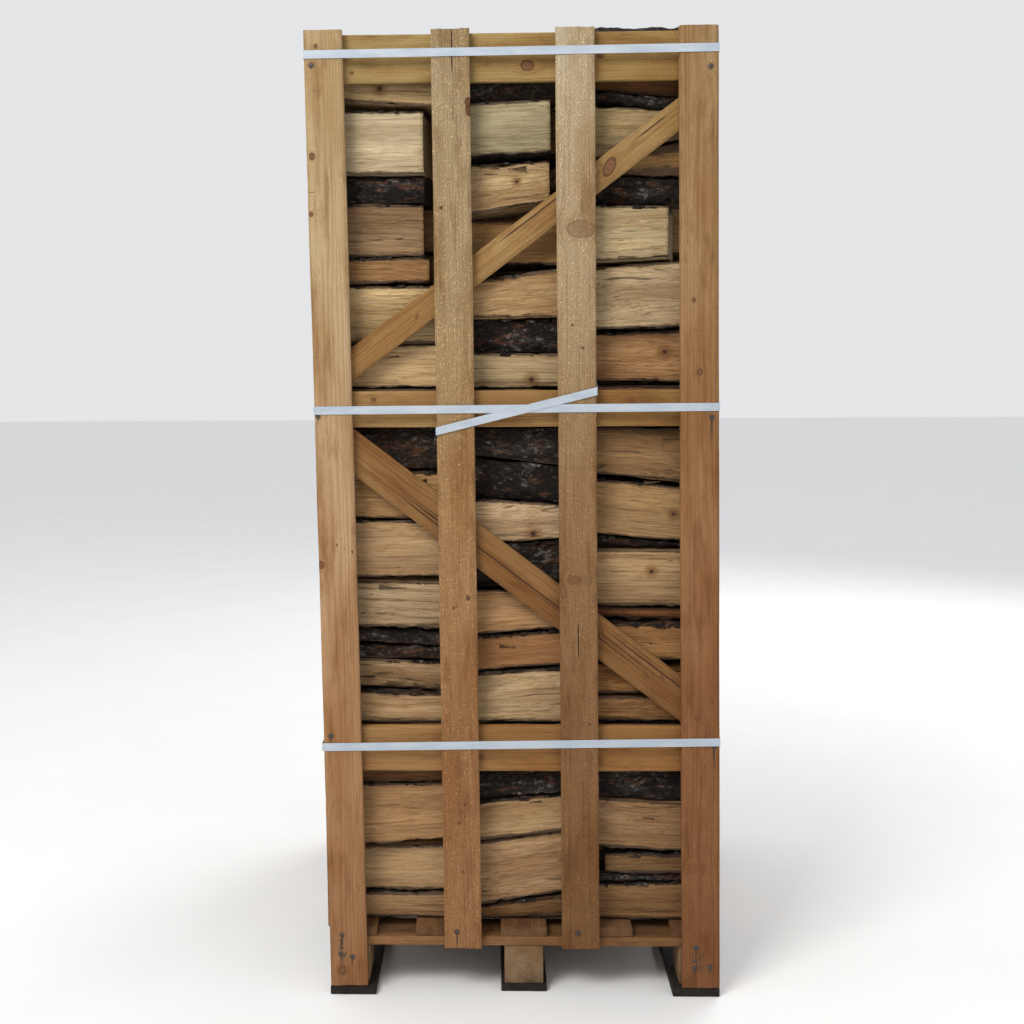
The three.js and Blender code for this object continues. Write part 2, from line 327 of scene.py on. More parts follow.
def sawn_board(node, board, slot, shades, finish, seed, knots=(), rust=(), cracks=(),
               fuzz=0.5, ragged=0.001, step=0.012, heart=(0.5, 1.6)):
    """A sawn board with worn arrises, their colour lightened as a painted highlight, and notes of its grain,
    knots, cracks and rust.
    """
    place, (long, wide, thick) = board
    stations = max(4, int(long / step))
    columns = max(4, int(wide / 0.007))
    edge = 0.0012
    ends = np.concatenate(([0, 0.002], np.linspace(0.004, long - 0.004, stations), [long - 0.002, long]))
    across = np.concatenate(([0], np.linspace(edge, wide - edge, columns), [wide]))
    count = len(across)
    s, u = np.meshgrid(ends, across, indexing="ij")
    spots, marks = [], []
    for inner in (False, True):
        along, side = s.copy(), u.copy()
        noise_at = np.stack([s * 9, u * 25, np.full_like(s, seed + inner * 7.3)], -1)
        fine_at = np.stack([s * 90, u * 400, np.full_like(s, seed + inner * 3.1)], -1)
        deep = 0.00035 * (1 + crumbs(noise_at)) + 0.00025 * fuzz * (1 + crumbs(fine_at))
        wear_at = np.stack([s * 45, np.full_like(s, seed), u * 3 + inner * 5.7], -1)
        wear = 1 + 0.8 * crumbs(wear_at) + 2.5 * np.clip(crumbs(wear_at * 0.6 + 4) - 0.62, 0, 1) * 3
        deep[:, [0, -1]] += edge * np.clip(wear[:, [0, -1]], 0.3, 4)
        deep[[0, -1], :] += 0.0006
        sway_at = np.stack([s * 6, u * 2, np.full_like(s, seed + 20)], -1)
        shift = 0.0004 * (1 + crumbs(sway_at))
        side[:, 0] += shift[:, 0]
        side[:, -1] -= shift[:, -1]
        side[:, 1] += edge * np.clip(wear[:, 0] - 1, 0, 3) * 0.7
        side[:, -2] -= edge * np.clip(wear[:, -1] - 1, 0, 3) * 0.7
        torn = ragged * (1 + crumbs(np.stack([u * 160, s * 0 + seed, s * 0 + inner], -1)))
        along[0] += torn[0]
        along[-1] -= torn[-1] * 0.5
        deep = deep if not inner else thick - deep
        spots.append(place(along / long, side / wide, deep / thick))
        marks.append(np.stack([along, side, deep], -1))
    spots = np.concatenate([spots[0], spots[1][:, ::-1]], 1)
    marks = np.concatenate([marks[0], marks[1][:, ::-1]], 1)
    ring, rows = 2 * count, len(ends)
    faces = tube_faces(rows, ring)
    last = (rows - 1) * ring
    for j in range(count - 1):
        faces.append((j, ring - 1 - j, ring - 2 - j, j + 1))
        faces.append((last + j, last + j + 1, last + ring - 2 - j, last + ring - 1 - j))
    spots, marks = spots.reshape(-1, 3), marks.reshape(-1, 3)
    a, b, c = spots[faces[ring // 4][0]], spots[faces[ring // 4][1]], spots[faces[ring // 4][3]]
    middle = spots.mean(0)
    if np.dot(np.cross(b - a, c - a), a - middle) < 0:
        faces = [f[::-1] for f in faces]
    grain = marks.copy()
    grain[:, 0] += 17.3 * seed
    grain[:, 1] -= wide * heart[0]
    grain[:, 2] += thick * heart[1]
    # Colour runs through the shades from one end of the board to the other; on the slats this carries painted
    # shade towards the foot.
    shares = marks[:, 0] / long * (len(shades) - 1)
    band = np.clip(shares.astype(int), 0, len(shades) - 2)
    chart = np.array([paint(*shade) for shade in shades])
    blend = (shares - band)[:, None]
    tint = chart[band] * (1 - blend) + chart[band + 1] * blend
    tint = tint.reshape(rows, ring, 4)
    # The arrises are painted lighter: a painted highlight along the board's edges.
    for arris in (0, count - 1, count, ring - 1):
        tint[:, arris, :3] *= 1.22
    tint = tint.reshape(-1, 4)
    tint[:ring, :3] *= 0.8
    tint[-ring:, :3] *= 0.8
    notes = {"grain": grain, "tint": tint, "fuzz": np.full(len(marks), float(fuzz))}
    kinds_of_mark = (("knot", knots, (9, 9, 0.01)), ("rust", rust, (-9, 9, 0.05)),
                     ("crack", cracks, (9, 9, 0.05)))
    for key, listed, far in kinds_of_mark:
        near = np.tile(np.array(far, float), (len(marks), 1))
        best = np.full(len(marks), 1e9)
        for spot in listed:
            offset = marks[:, :2] - np.array(spot[:2])
            reach = np.abs(offset[:, 1]) if key == "crack" else np.linalg.norm(offset, axis=1)
            reach = reach / abs(spot[2]) if key == "knot" else reach
            if key == "crack":
                reach = reach + np.clip(np.abs(offset[:, 0]) - spot[2], 0, 9)
            closer = reach < best
            best[closer] = reach[closer]
            near[closer, :2] = offset[closer]
            near[closer, 2] = spot[2]
        notes[key] = near
    return finished_piece(f"{node}_sawn", spots, faces, finish, slot, [node], notes)


def sawn_softwood(name, fibres=1.0, stain=0.0, year_rings=0.5):
    """The finish of the sawn boards: growth rings, fibres, knots, cracks and nail stains, with painted shade
    in the hollows of the saw fuzz and painted highlights on its raised tufts.
    """
    mixed = Finish(name, roughness=0.82, gloss=0.25)
    grain = mixed.from_mesh("grain")
    tint = mixed.from_mesh("tint", colour=True)
    fuzz = mixed.number_from_mesh("fuzz")
    knot = mixed.parts(mixed.from_mesh("knot"))
    rust = mixed.parts(mixed.from_mesh("rust"))
    crack = mixed.parts(mixed.from_mesh("crack"))
    parts = mixed.parts(grain)
    faint = mixed.sum("LESS_THAN", knot[2], 0.0)
    knot_far = mixed.length(mixed.join(mixed.times(knot[0], mixed.scaled(faint, 0.8, 0.8)), knot[1], 0.0))
    knot_size = mixed.sum("DIVIDE", knot_far, mixed.sum("ABSOLUTE", knot[2]))
    bold = mixed.scaled(faint, -0.68, 1.0)
    swirl = mixed.fade(knot_size, 3.2, 0.8)
    pushed = mixed.times(mixed.times(swirl, knot[1]), -0.6)
    across = mixed.plus(parts[1], pushed)
    flow = mixed.join(parts[0], across, parts[2])
    wander = mixed.grain(flow, (2.2, 26, 26), detail=2.0)
    radius = mixed.length(mixed.join(0.0, across, parts[2]))
    rings = mixed.scaled(wander, 0.016, radius)
    wave = mixed.bands(rings, 0.0042)
    late = mixed.fade(wave, 0.1, 1.0)
    fine = mixed.grain(flow, (16, 900, 900), detail=3.0, rough=0.65)
    coarse = mixed.grain(flow, (3, 170, 170), detail=3.0)
    cloud = mixed.grain(flow, (4, 16, 16), detail=2.0)
    colour = mixed.mix(mixed.fade(cloud, 0.38, 0.68), tint, mixed.tinted(tint, 0.80, 0.70, 0.58))
    darker = mixed.tinted(colour, 0.70, 0.60, 0.48)
    colour = mixed.mix(mixed.times(late, year_rings), colour, darker)
    colour = mixed.mix(mixed.fade(coarse, 0.50, 0.74, 0.0, 0.75), colour, darker)
    colour = mixed.mix(mixed.fade(fine, 0.52, 0.80, 0.0, 0.6 * fibres), colour, darker)
    lighter = mixed.tinted(colour, 1.36, 1.31, 1.22)
    colour = mixed.mix(mixed.fade(fine, 0.46, 0.25, 0.0, 0.55 * fibres), colour, lighter)
    tufts = mixed.grain(flow, (210, 420, 420), detail=4.0, rough=0.75)
    sawn = mixed.times(mixed.fade(tufts, 0.40, 0.62), fuzz)
    deepest = mixed.tinted(colour, 0.64, 0.53, 0.41)
    # The hollows of the saw fuzz are painted darker: painted shade in the low parts of the relief.
    hollow_shade = mixed.times(mixed.fade(tufts, 0.48, 0.34), mixed.scaled(fuzz, 0.75, 0.12))
    colour = mixed.mix(hollow_shade, colour, deepest)
    # The raised tufts are painted lighter: a painted highlight on the high parts of the relief.
    colour = mixed.mix(mixed.times(mixed.fade(tufts, 0.51, 0.62), mixed.times(fuzz, 0.9)), colour, lighter)
    weather = mixed.grain(flow, (9, 34, 34), detail=4.0, rough=0.65)
    colour = mixed.mix(mixed.fade(weather, 0.50, 0.68, 0.0, 0.62), colour, deepest)
    knot_ring = mixed.sum("SINE", mixed.times(knot_size, 14.0))
    knot_dark, knot_pale = (0.14, 0.060, 0.025, 1), (0.20, 0.092, 0.040, 1)
    knot_colour = mixed.mix(mixed.fade(knot_ring, -0.6, 1.0), knot_dark, knot_pale)
    colour = mixed.mix(mixed.fade(knot_size, 2.4, 1.0, 0.0, 0.55), colour, darker)
    knot_here = mixed.times(mixed.fade(knot_size, 1.08, 0.92), mixed.scaled(faint, -0.62, 1.0))
    colour = mixed.mix(knot_here, colour, knot_colour)
    rim = mixed.times(mixed.fade(knot_size, 0.86, 1.0), mixed.fade(knot_size, 1.16, 1.02))
    colour = mixed.mix(mixed.times(mixed.times(rim, bold), 0.85), colour, (0.035, 0.015, 0.008, 1))
    wobble = mixed.grain(flow, (40, 120, 120), detail=2.0)
    crack_side = mixed.sum("ABSOLUTE", mixed.scaled(wobble, 0.002, mixed.minus(crack[1], 0.001)))
    crack_along = mixed.sum("DIVIDE", mixed.sum("ABSOLUTE", crack[0]), crack[2])
    crack_width = mixed.fade(crack_along, 1.0, 0.5, 0.00002, 0.0013)
    cracked = mixed.sum("LESS_THAN", crack_side, crack_width)
    colour = mixed.mix(mixed.times(cracked, 0.85), colour, (0.03, 0.015, 0.008, 1))
    below = mixed.times(rust[0], -1.0)
    run_side = mixed.sum("ABSOLUTE", mixed.scaled(wobble, 0.003, mixed.minus(rust[1], 0.0015)))
    run_fade = mixed.fade(mixed.sum("DIVIDE", below, rust[2]), 1.0, 0.1)
    run_start = mixed.fade(below, -0.004, 0.001)
    streak = mixed.times(mixed.times(run_fade, run_start), mixed.fade(run_side, 0.0030, 0.0008))
    colour = mixed.mix(mixed.times(streak, 0.8), colour, (0.028, 0.024, 0.024, 1))
    halo = mixed.fade(mixed.length(mixed.join(rust[0], rust[1], 0.0)), 0.0085, 0.0035, 0.0, 0.8)
    colour = mixed.mix(halo, colour, (0.06, 0.045, 0.035, 1))
    if stain:
        grime = mixed.grain(flow, (9, 40, 40), detail=4.0, rough=0.7)
        colour = mixed.mix(mixed.fade(grime, 0.38, 0.62, 0.0, stain), colour, (0.035, 0.028, 0.025, 1))
    speck = mixed.grain(flow, (60, 150, 150), detail=2.0)
    colour = mixed.mix(mixed.fade(speck, 0.74, 0.80, 0.0, 0.6), colour, (0.06, 0.035, 0.02, 1))
    rough = mixed.fade(fine, 0.3, 0.7, 0.68, 0.92)
    height = mixed.plus(mixed.times(fine, 0.8), mixed.times(coarse, 0.8))
    height = mixed.plus(height, mixed.times(sawn, 1.5))
    height = mixed.minus(height, mixed.times(cracked, 3.0))
    return mixed.done(colour, rough, mixed.relief(height, 0.0015, 1.0))


sawn_slats = sawn_softwood("sawn_slats")
# Each slat's shades run from its foot up to its top. The darker, more orange foot is partly the boards' own
# colour and partly painted shade, as from light that falls from above.
front_slats = {
    1: dict(shades=[(151, 109, 72), (166, 126, 88), (181, 148, 113), (181, 156, 120), (181, 159, 123)],
            fuzz=0.25, heart=(0.2, 2.6),
            knots=[(1.890, 0.0242, 0.0035), (1.679, 0.0110, 0.0055), (1.567, 0.0057, 0.004),
                   (0.872, 0.0048, 0.006), (0.034, 0.0244, 0.007)],
            cracks=[(0.912, 0.0382, 0.004), (0.898, 0.0679, 0.004)],
            rust=[(1.854, 0.0143, 0.01), (1.170, 0.0077, 0.02), (0.523, 0.0148, 0.02), (0.108, 0.0254, 0.045),
                  (0.068, 0.0222, 0.03), (0.062, 0.0457, 0.025)]),
    2: dict(shades=[(178, 130, 86), (182, 136, 92), (190, 150, 104), (192, 166, 126), (194, 174, 138)],
            fuzz=1.0, ragged=0.004, heart=(0.9, 0.9),
            knots=[(1.701, 0.0725, 0.007), (1.682, 0.0735, 0.006), (1.498, 0.0157, 0.003),
                   (0.706, 0.0296, 0.0022), (0.726, 0.0579, 0.004), (0.304, 0.0459, 0.0026),
                   (0.265, 0.0332, 0.0024), (0.163, 0.0399, 0.0022)],
            cracks=[(1.80, 0.041, 0.055)], rust=[(0.037, 0.0258, 0.06)]),
    3: dict(shades=[(142, 100, 60), (158, 116, 76), (174, 136, 94), (203, 178, 140), (218, 200, 168)],
            fuzz=1.0, ragged=0.002, heart=(0.1, 0.8),
            knots=[(1.455, 0.047, -0.027), (1.268, 0.0292, 0.002), (1.223, 0.0496, 0.002),
                   (0.762, 0.0300, -0.013), (0.469, 0.0589, 0.0025), (0.276, 0.0477, 0.0026),
                   (0.212, 0.0554, 0.0026)],
            cracks=[(0.64, 0.037, 0.042)], rust=[(0.036, 0.0321, 0.012)]),
    4: dict(shades=[(128, 84, 50), (140, 96, 60), (154, 112, 74), (163, 128, 88), (170, 142, 104)],
            fuzz=0.35, heart=(0.6, 2.2),
            knots=[(1.253, 0.0381, 0.005), (1.394, 0.0267, 0.0035), (0.561, 0.0307, 0.0035),
                   (0.250, 0.0240, -0.012)],
            rust=[(1.843, 0.0604, 0.012), (1.164, 0.0614, 0.065), (0.502, 0.0645, 0.055),
                  (0.085, 0.0276, 0.03), (0.043, 0.0255, 0.025), (0.045, 0.0559, 0.025)]),
}
for number, slat in front_slats.items():
    node = f"front_slat_{number}"
    sawn_board(node, straight_board(node, 2, 0, 1, -1), "slat_wood", finish=sawn_slats, seed=number, **slat)

# Shades from foot to top of the back and side slats: darker towards the foot, partly the boards' own colour
# and partly painted shade, as from light that falls from above.
straw = [(150, 112, 74), (164, 128, 90), (172, 143, 106), (178, 154, 118)]
ochre = [(140, 98, 60), (152, 114, 74), (160, 128, 88), (168, 142, 104)]
back_slats = {
    1: dict(shades=straw, fuzz=0.4, knots=[(0.6, 0.05, 0.006), (1.5, 0.02, 0.004)]),
    2: dict(shades=ochre, fuzz=0.9, ragged=0.003, knots=[(0.95, 0.03, 0.008)], cracks=[(0.2, 0.04, 0.12)]),
    3: dict(shades=straw, fuzz=0.9, ragged=0.002, knots=[(1.1, 0.055, 0.005), (0.35, 0.02, 0.007)]),
    4: dict(shades=ochre, fuzz=0.3, knots=[(1.3, 0.03, 0.007), (0.8, 0.06, 0.004)]),
}
inner_slats = (2, 3)
corner_slat_below = 0.079


def back_nails(number):
    """The nails of a back slat: height up it, distance across it, and length of the rust run."""
    foot = 0.0 if number in inner_slats else corner_slat_below
    across = 0.02 + 0.035 * (number % 2)
    return [(height + foot, across, 0.03) for height in (0.035, 0.42, 1.10, 1.78)]


for number, slat in back_slats.items():
    node = f"back_slat_{number}"
    sawn_board(node, straight_board(node, 2, 0, 1, 1), "slat_wood", finish=sawn_slats, seed=10 + number,
               rust=back_nails(number), heart=(0.2 * number, 1.5), **slat)


# ---------------------------------------------------------------- side slats
# The same sawn slats, standing on the pallet's deck between the two panels. The corner ones
# close the crate's four corners against the ends of the side rails.
def side_nails(number):
    """The nails of a side slat, listed like those of a back slat."""
    return [(height, 0.03 + 0.008 * number, 0.02) for height in (0.37, 1.06, 1.75)]


for side, outer in (("left", -1), ("right", 1)):
    for number in range(1, 5):
        node = f"{side}_slat_{number}"
        shades = straw if (number + (side == "left")) % 2 else ochre
        low_knot = (0.3 + 0.37 * number, 0.03 + 0.008 * number, 0.006)
        high_knot = (1.7 - 0.31 * number, 0.05, 0.004)
        sawn_board(node, straight_board(node, 2, 1, 0, outer), "slat_wood", shades, sawn_slats,
                   30 + number + (side == "left") * 5, rust=side_nails(number),
                   fuzz=0.3 + 0.15 * number, knots=[low_knot, high_knot], heart=(0.25 * number, 1.2))


# ---------------------------------------------------------------- rails
# Flat softwood rails, three to a panel, smoother than the slats and with clear grain lines.
# Slats are nailed to their outer faces.
sawn_rails = sawn_softwood("sawn_rails", fibres=0.9, year_rings=0.6)
rail_looks = {
    "top": dict(shades=[(168, 146, 98), (160, 133, 84), (158, 128, 78)], heart=(1.3, 0.6)),
    "middle": dict(shades=[(170, 138, 92), (158, 122, 76), (144, 108, 60)], heart=(-0.4, 0.8)),
    "lower": dict(shades=[(160, 124, 80), (156, 116, 70), (148, 106, 60)], heart=(1.2, 1.0)),
}
front_rail_knots = {
    "top": [(0.410, 0.031, 0.0098), (0.066, 0.020, 0.003), (0.552, 0.047, 0.005)],
    "middle": [(0.096, 0.056, 0.004), (0.61, 0.05, 0.004)],
    "lower": [(0.30, 0.03, 0.005)],
}
for side, run, face, through, outer in (("front", 0, 2, 1, -1), ("back", 0, 2, 1, 1),
                                        ("left", 1, 2, 0, -1), ("right", 1, 2, 0, 1)):
    for number, (level, look) in enumerate(rail_looks.items()):
        node = f"{side}_{level}_rail"
        lone_knot = (0.2 + 0.13 * number + outer * 0.05, 0.04, 0.006)
        knots = front_rail_knots[level] if side == "front" else [lone_knot]
        sawn_board(node, straight_board(node, run, face, through, outer), "rail_wood", finish=sawn_rails,
                   seed=50 + number + 3 * run + outer, knots=knots, fuzz=0.2, **look)


# ---------------------------------------------------------------- braces
# Two slanting boards in the front panel and two in the back one, above the middle rail and
# below it, cut to fit against the rails and the corner slats.
def slanting_board(node, outer):
    points = node_points(node)
    depth = [points[:, 1].min(), points[:, 1].max()][::-outer]
    front = points[np.isclose(points[:, 1], depth[0])][:, [0, 2]]
    centre = front.mean(0)
    order = np.argsort(np.arctan2(*(front - centre).T[::-1]))
    outline = front[order]
    sides = np.roll(outline, -1, 0) - outline
    longest = sides[np.argmax(np.linalg.norm(sides, axis=1))]
    way = longest / np.linalg.norm(longest)
    way = way * (1 if way[1] > 0 else -1)
    square = np.array([way[1], -way[0]])
    run, cross = (outline - centre) @ way, (outline - centre) @ square
    low, high = cross.min(), cross.max()

    def reach(at):
        hits = []
        for i in range(len(run)):
            n = (i + 1) % len(run)
            c0, c1 = cross[i], cross[n]
            if abs(c1 - c0) > 1e-7 and min(c0, c1) - 1e-7 <= at <= max(c0, c1) + 1e-7:
                hits.append(run[i] + (run[n] - run[i]) * (at - c0) / (c1 - c0))
            elif abs(c1 - c0) <= 1e-7 and abs(at - c0) < 1e-6:
                hits += [run[i], run[n]]
        return min(hits), max(hits)

    def place(along, across, deep):
        spans = np.array([reach(low + (high - low) * min(max(a, 0.0), 1.0)) for a in across.ravel()])
        start, end = spans[:, 0].reshape(across.shape), spans[:, 1].reshape(across.shape)
        at = start + (end - start) * along
        flat = centre + at[..., None] * way + (low + (high - low) * across)[..., None] * square
        y = depth[0] + (depth[1] - depth[0]) * deep
        return np.stack([flat[..., 0], y, flat[..., 1]], -1)

    return place, (run.max() - run.min(), high - low, abs(depth[1] - depth[0]))


sawn_braces = sawn_softwood("sawn_braces", fibres=1.0, year_rings=0.6)
brace_looks = {
    "upper": dict(shades=[(158, 122, 74), (162, 130, 84), (166, 138, 92)], heart=(0.3, 1.1),
                  knots=[(0.722, 0.026, 0.0125), (0.235, 0.03, 0.003)],
                  cracks=[(0.52, 0.012, 0.09), (0.83, 0.014, 0.04)]),
    "lower": dict(shades=[(132, 92, 52), (142, 104, 62), (148, 112, 70)], heart=(0.6, 1.3),
                  knots=[(0.16, 0.035, 0.003), (0.12, 0.05, 0.003)],
                  cracks=[(0.46, 0.036, 0.36), (0.14, 0.056, 0.13), (0.7, 0.022, 0.08)]),
}
for side, outer in (("front", -1), ("back", 1)):
    for number, (level, look) in enumerate(brace_looks.items()):
        node = f"{side}_{level}_brace"
        sawn_board(node, slanting_board(node, outer), "rail_wood",
                   finish=sawn_braces if level == "upper" else sawn_rails,
                   seed=70 + number * 3 + outer, fuzz=0.3, **look)


# ---------------------------------------------------------------- pallet
# Three long skids, nine blocks, three cross boards and five deck boards, nailed together.
# The skids are almost black with ground dirt, and the blocks are weathered grey-brown.
pallet_timber = sawn_softwood("pallet_timber", stain=0.25)
skid_timber = sawn_softwood("skid_timber", stain=0.9)
for number, place_name in enumerate(("left", "centre", "right")):
    node = f"skid_{place_name}"
    sawn_board(node, straight_board(node, 1, 0, 2, 1), "skid_wood",
               [(50, 43, 39), (44, 37, 32), (48, 41, 36)], skid_timber, 80 + number, fuzz=0.8,
               ragged=0.002)
    for row, row_name in enumerate(("front", "middle", "back")):
        node = f"block_{row_name}_{place_name}"
        sawn_board(node, straight_board(node, 1, 0, 2, 1), "pallet_wood",
                   [(172, 142, 108), (156, 128, 98)], pallet_timber, 84 + 3 * row + number, fuzz=0.6,
                   ragged=0.0012, step=0.006, heart=(0.3 + 0.3 * number, 0.4 + 0.2 * row))
for number, row_name in enumerate(("front", "middle", "back")):
    node = f"cross_board_{row_name}"
    sawn_board(node, straight_board(node, 0, 1, 2, 1), "pallet_wood",
               [(146, 106, 68), (138, 100, 62), (132, 94, 56)], pallet_timber, 94 + number,
               fuzz=0.5, ragged=0.002, knots=[(0.3, 0.05, 0.007)])
for number in range(1, 6):
    node = f"deck_board_{number}"
    sawn_board(node, straight_board(node, 1, 0, 2, 1), "pallet_wood",
               [(140, 102, 66), (146, 108, 70), (136, 98, 62)], pallet_timber, 98 + number,
               fuzz=0.4, ragged=0.002,
               heart=(0.5, 0.5 + 0.2 * number), knots=[(0.15 * number, 0.03, 0.006)])


# ---------------------------------------------------------------- nails
# Steel nails driven through the slats, with low domed heads that stand a little proud, dull
# grey with spots of rust.
nail_head = 0.0034
nail_rim = 0.0007


def nail_finish():
    mixed = Finish("weathered_steel", roughness=0.5, gloss=0.5)
    mixed.surface.inputs["Metallic"].default_value = 0.75
    place = mixed.step("TexCoord").outputs["Object"]
    spots = mixed.grain(place, (900, 900, 900), detail=3.0)
    colour = mixed.mix(mixed.fade(spots, 0.35, 0.65), (0.10, 0.105, 0.11, 1), (0.05, 0.03, 0.02, 1))
    return mixed.done(colour, mixed.fade(spots, 0.3, 0.7, 0.4, 0.75), mixed.relief(spots, 0.0004, 0.5))


def nail_heads(name, heads, finish):
    """Domed heads with a small rim, each with a stub that sits in the board."""
    points, faces = [], []
    for spot, outward in heads:
        outward = np.array(outward, float)
        side = np.cross(outward, (0, 0, 1) if abs(outward[2]) < 0.5 else (1, 0, 0))
        side = side / np.linalg.norm(side)
        up = np.cross(outward, side)
        start = len(points)
        rounds = ((-0.002, 0.0012), (-0.0001, 0.0013), (0.0, nail_head), (nail_rim * 0.6, nail_head),
                  (nail_rim, nail_head * 0.82), (nail_rim * 1.15, nail_head * 0.4))
        turns = 14
        for height, radius in rounds:
            for k in range(turns):
                angle = 2 * math.pi * k / turns
                round_it = radius * (math.cos(angle) * side + math.sin(angle) * up)
                points.append(np.array(spot) + outward * height + round_it)
        faces += tube_faces(len(rounds), turns, start)
        faces.append(tuple(start + k for k in reversed(range(turns))))
        top = start + (len(rounds) - 1) * turns
        faces.append(tuple(top + k for k in range(turns)))
    return finished_piece(name, points, faces, finish)


def nail_row(board, nails, outward):
    """Where the heads of a board's nails lie, and which way they face."""
    place, (long, wide, _) = board
    sunk = np.array(0.02)
    return [(place(np.array(height / long), np.array(across / wide), sunk), outward)
            for height, across, _ in nails]


steel = nail_finish()
front_heads, back_heads, side_heads = [], [], []
for number, slat in front_slats.items():
    board = straight_board(f"front_slat_{number}", 2, 0, 1, -1)
    front_heads += nail_row(board, slat["rust"], (0, -1, 0))
for number in back_slats:
    board = straight_board(f"back_slat_{number}", 2, 0, 1, 1)
    back_heads += nail_row(board, back_nails(number), (0, 1, 0))
for side, outer in (("left", -1), ("right", 1)):
    for number in range(1, 5):
        board = straight_board(f"{side}_slat_{number}", 2, 1, 0, outer)
        side_heads += nail_row(board, side_nails(number), (outer, 0, 0))
nail_heads("front_nails", front_heads, steel)
nail_heads("back_nails", back_heads, steel)
nail_heads("side_nails", side_heads, steel)


# ---------------------------------------------------------------- straps and tie
# White polypropylene strapping, 16 mm wide, pulled tight round the crate at three heights,
# with a short slanting tie round the two middle slats. Its face is pressed with fine ridges.
def strapping():
    mixed = Finish("white_strapping", roughness=0.42, gloss=0.45)
    place = mixed.parts(mixed.step("TexCoord").outputs["Object"])
    round_crate = mixed.plus(place[0], place[1])
    first = mixed.bands(mixed.plus(round_crate, place[2]), 0.0024)
    second = mixed.bands(mixed.minus(round_crate, place[2]), 0.0024)
    ridges = mixed.times(first, second)
    spot = mixed.join(place[0], place[1], mixed.times(place[2], 4.0))
    haze = mixed.grain(spot, (14, 14, 14), detail=3.0)
    colour = mixed.mix(mixed.fade(haze, 0.3, 0.7), paint(176, 184, 193), paint(160, 170, 182))
    dust = mixed.grain(spot, (90, 90, 90), detail=3.0)
    colour = mixed.mix(mixed.fade(dust, 0.6, 0.8, 0.0, 0.35), colour, paint(150, 148, 142))
    return mixed.done(colour, mixed.fade(haze, 0.3, 0.7, 0.36, 0.5), mixed.relief(ridges, 0.00035, 0.5))


white_strapping = strapping()
for node in ("strap_top", "strap_middle", "strap_lower", "strap_tie"):
    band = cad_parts[node]
    band.data.materials.clear()
    band.data.materials.append(white_strapping)


# ---------------------------------------------------------------- firewood
# Split logs about a quarter of a metre long, in three columns with their ends to the crate's
# sides. Some show pale split faces, some dark grey-brown bark.
chance = np.random.default_rng(7)
deck_height = 0.136
rack = -0.009978
stack_front = -0.4578
stack_back = 0.4590
columns = {"left": (-0.360, -0.122), "middle": (-0.119, 0.119), "right": (0.122, 0.360)}
stack_top = 1.924
stack_aside = 0.0115
stack_inward = 0.0006
rail_levels = ((0.458, 0.562), (1.159, 1.242), (1.835, 1.99))


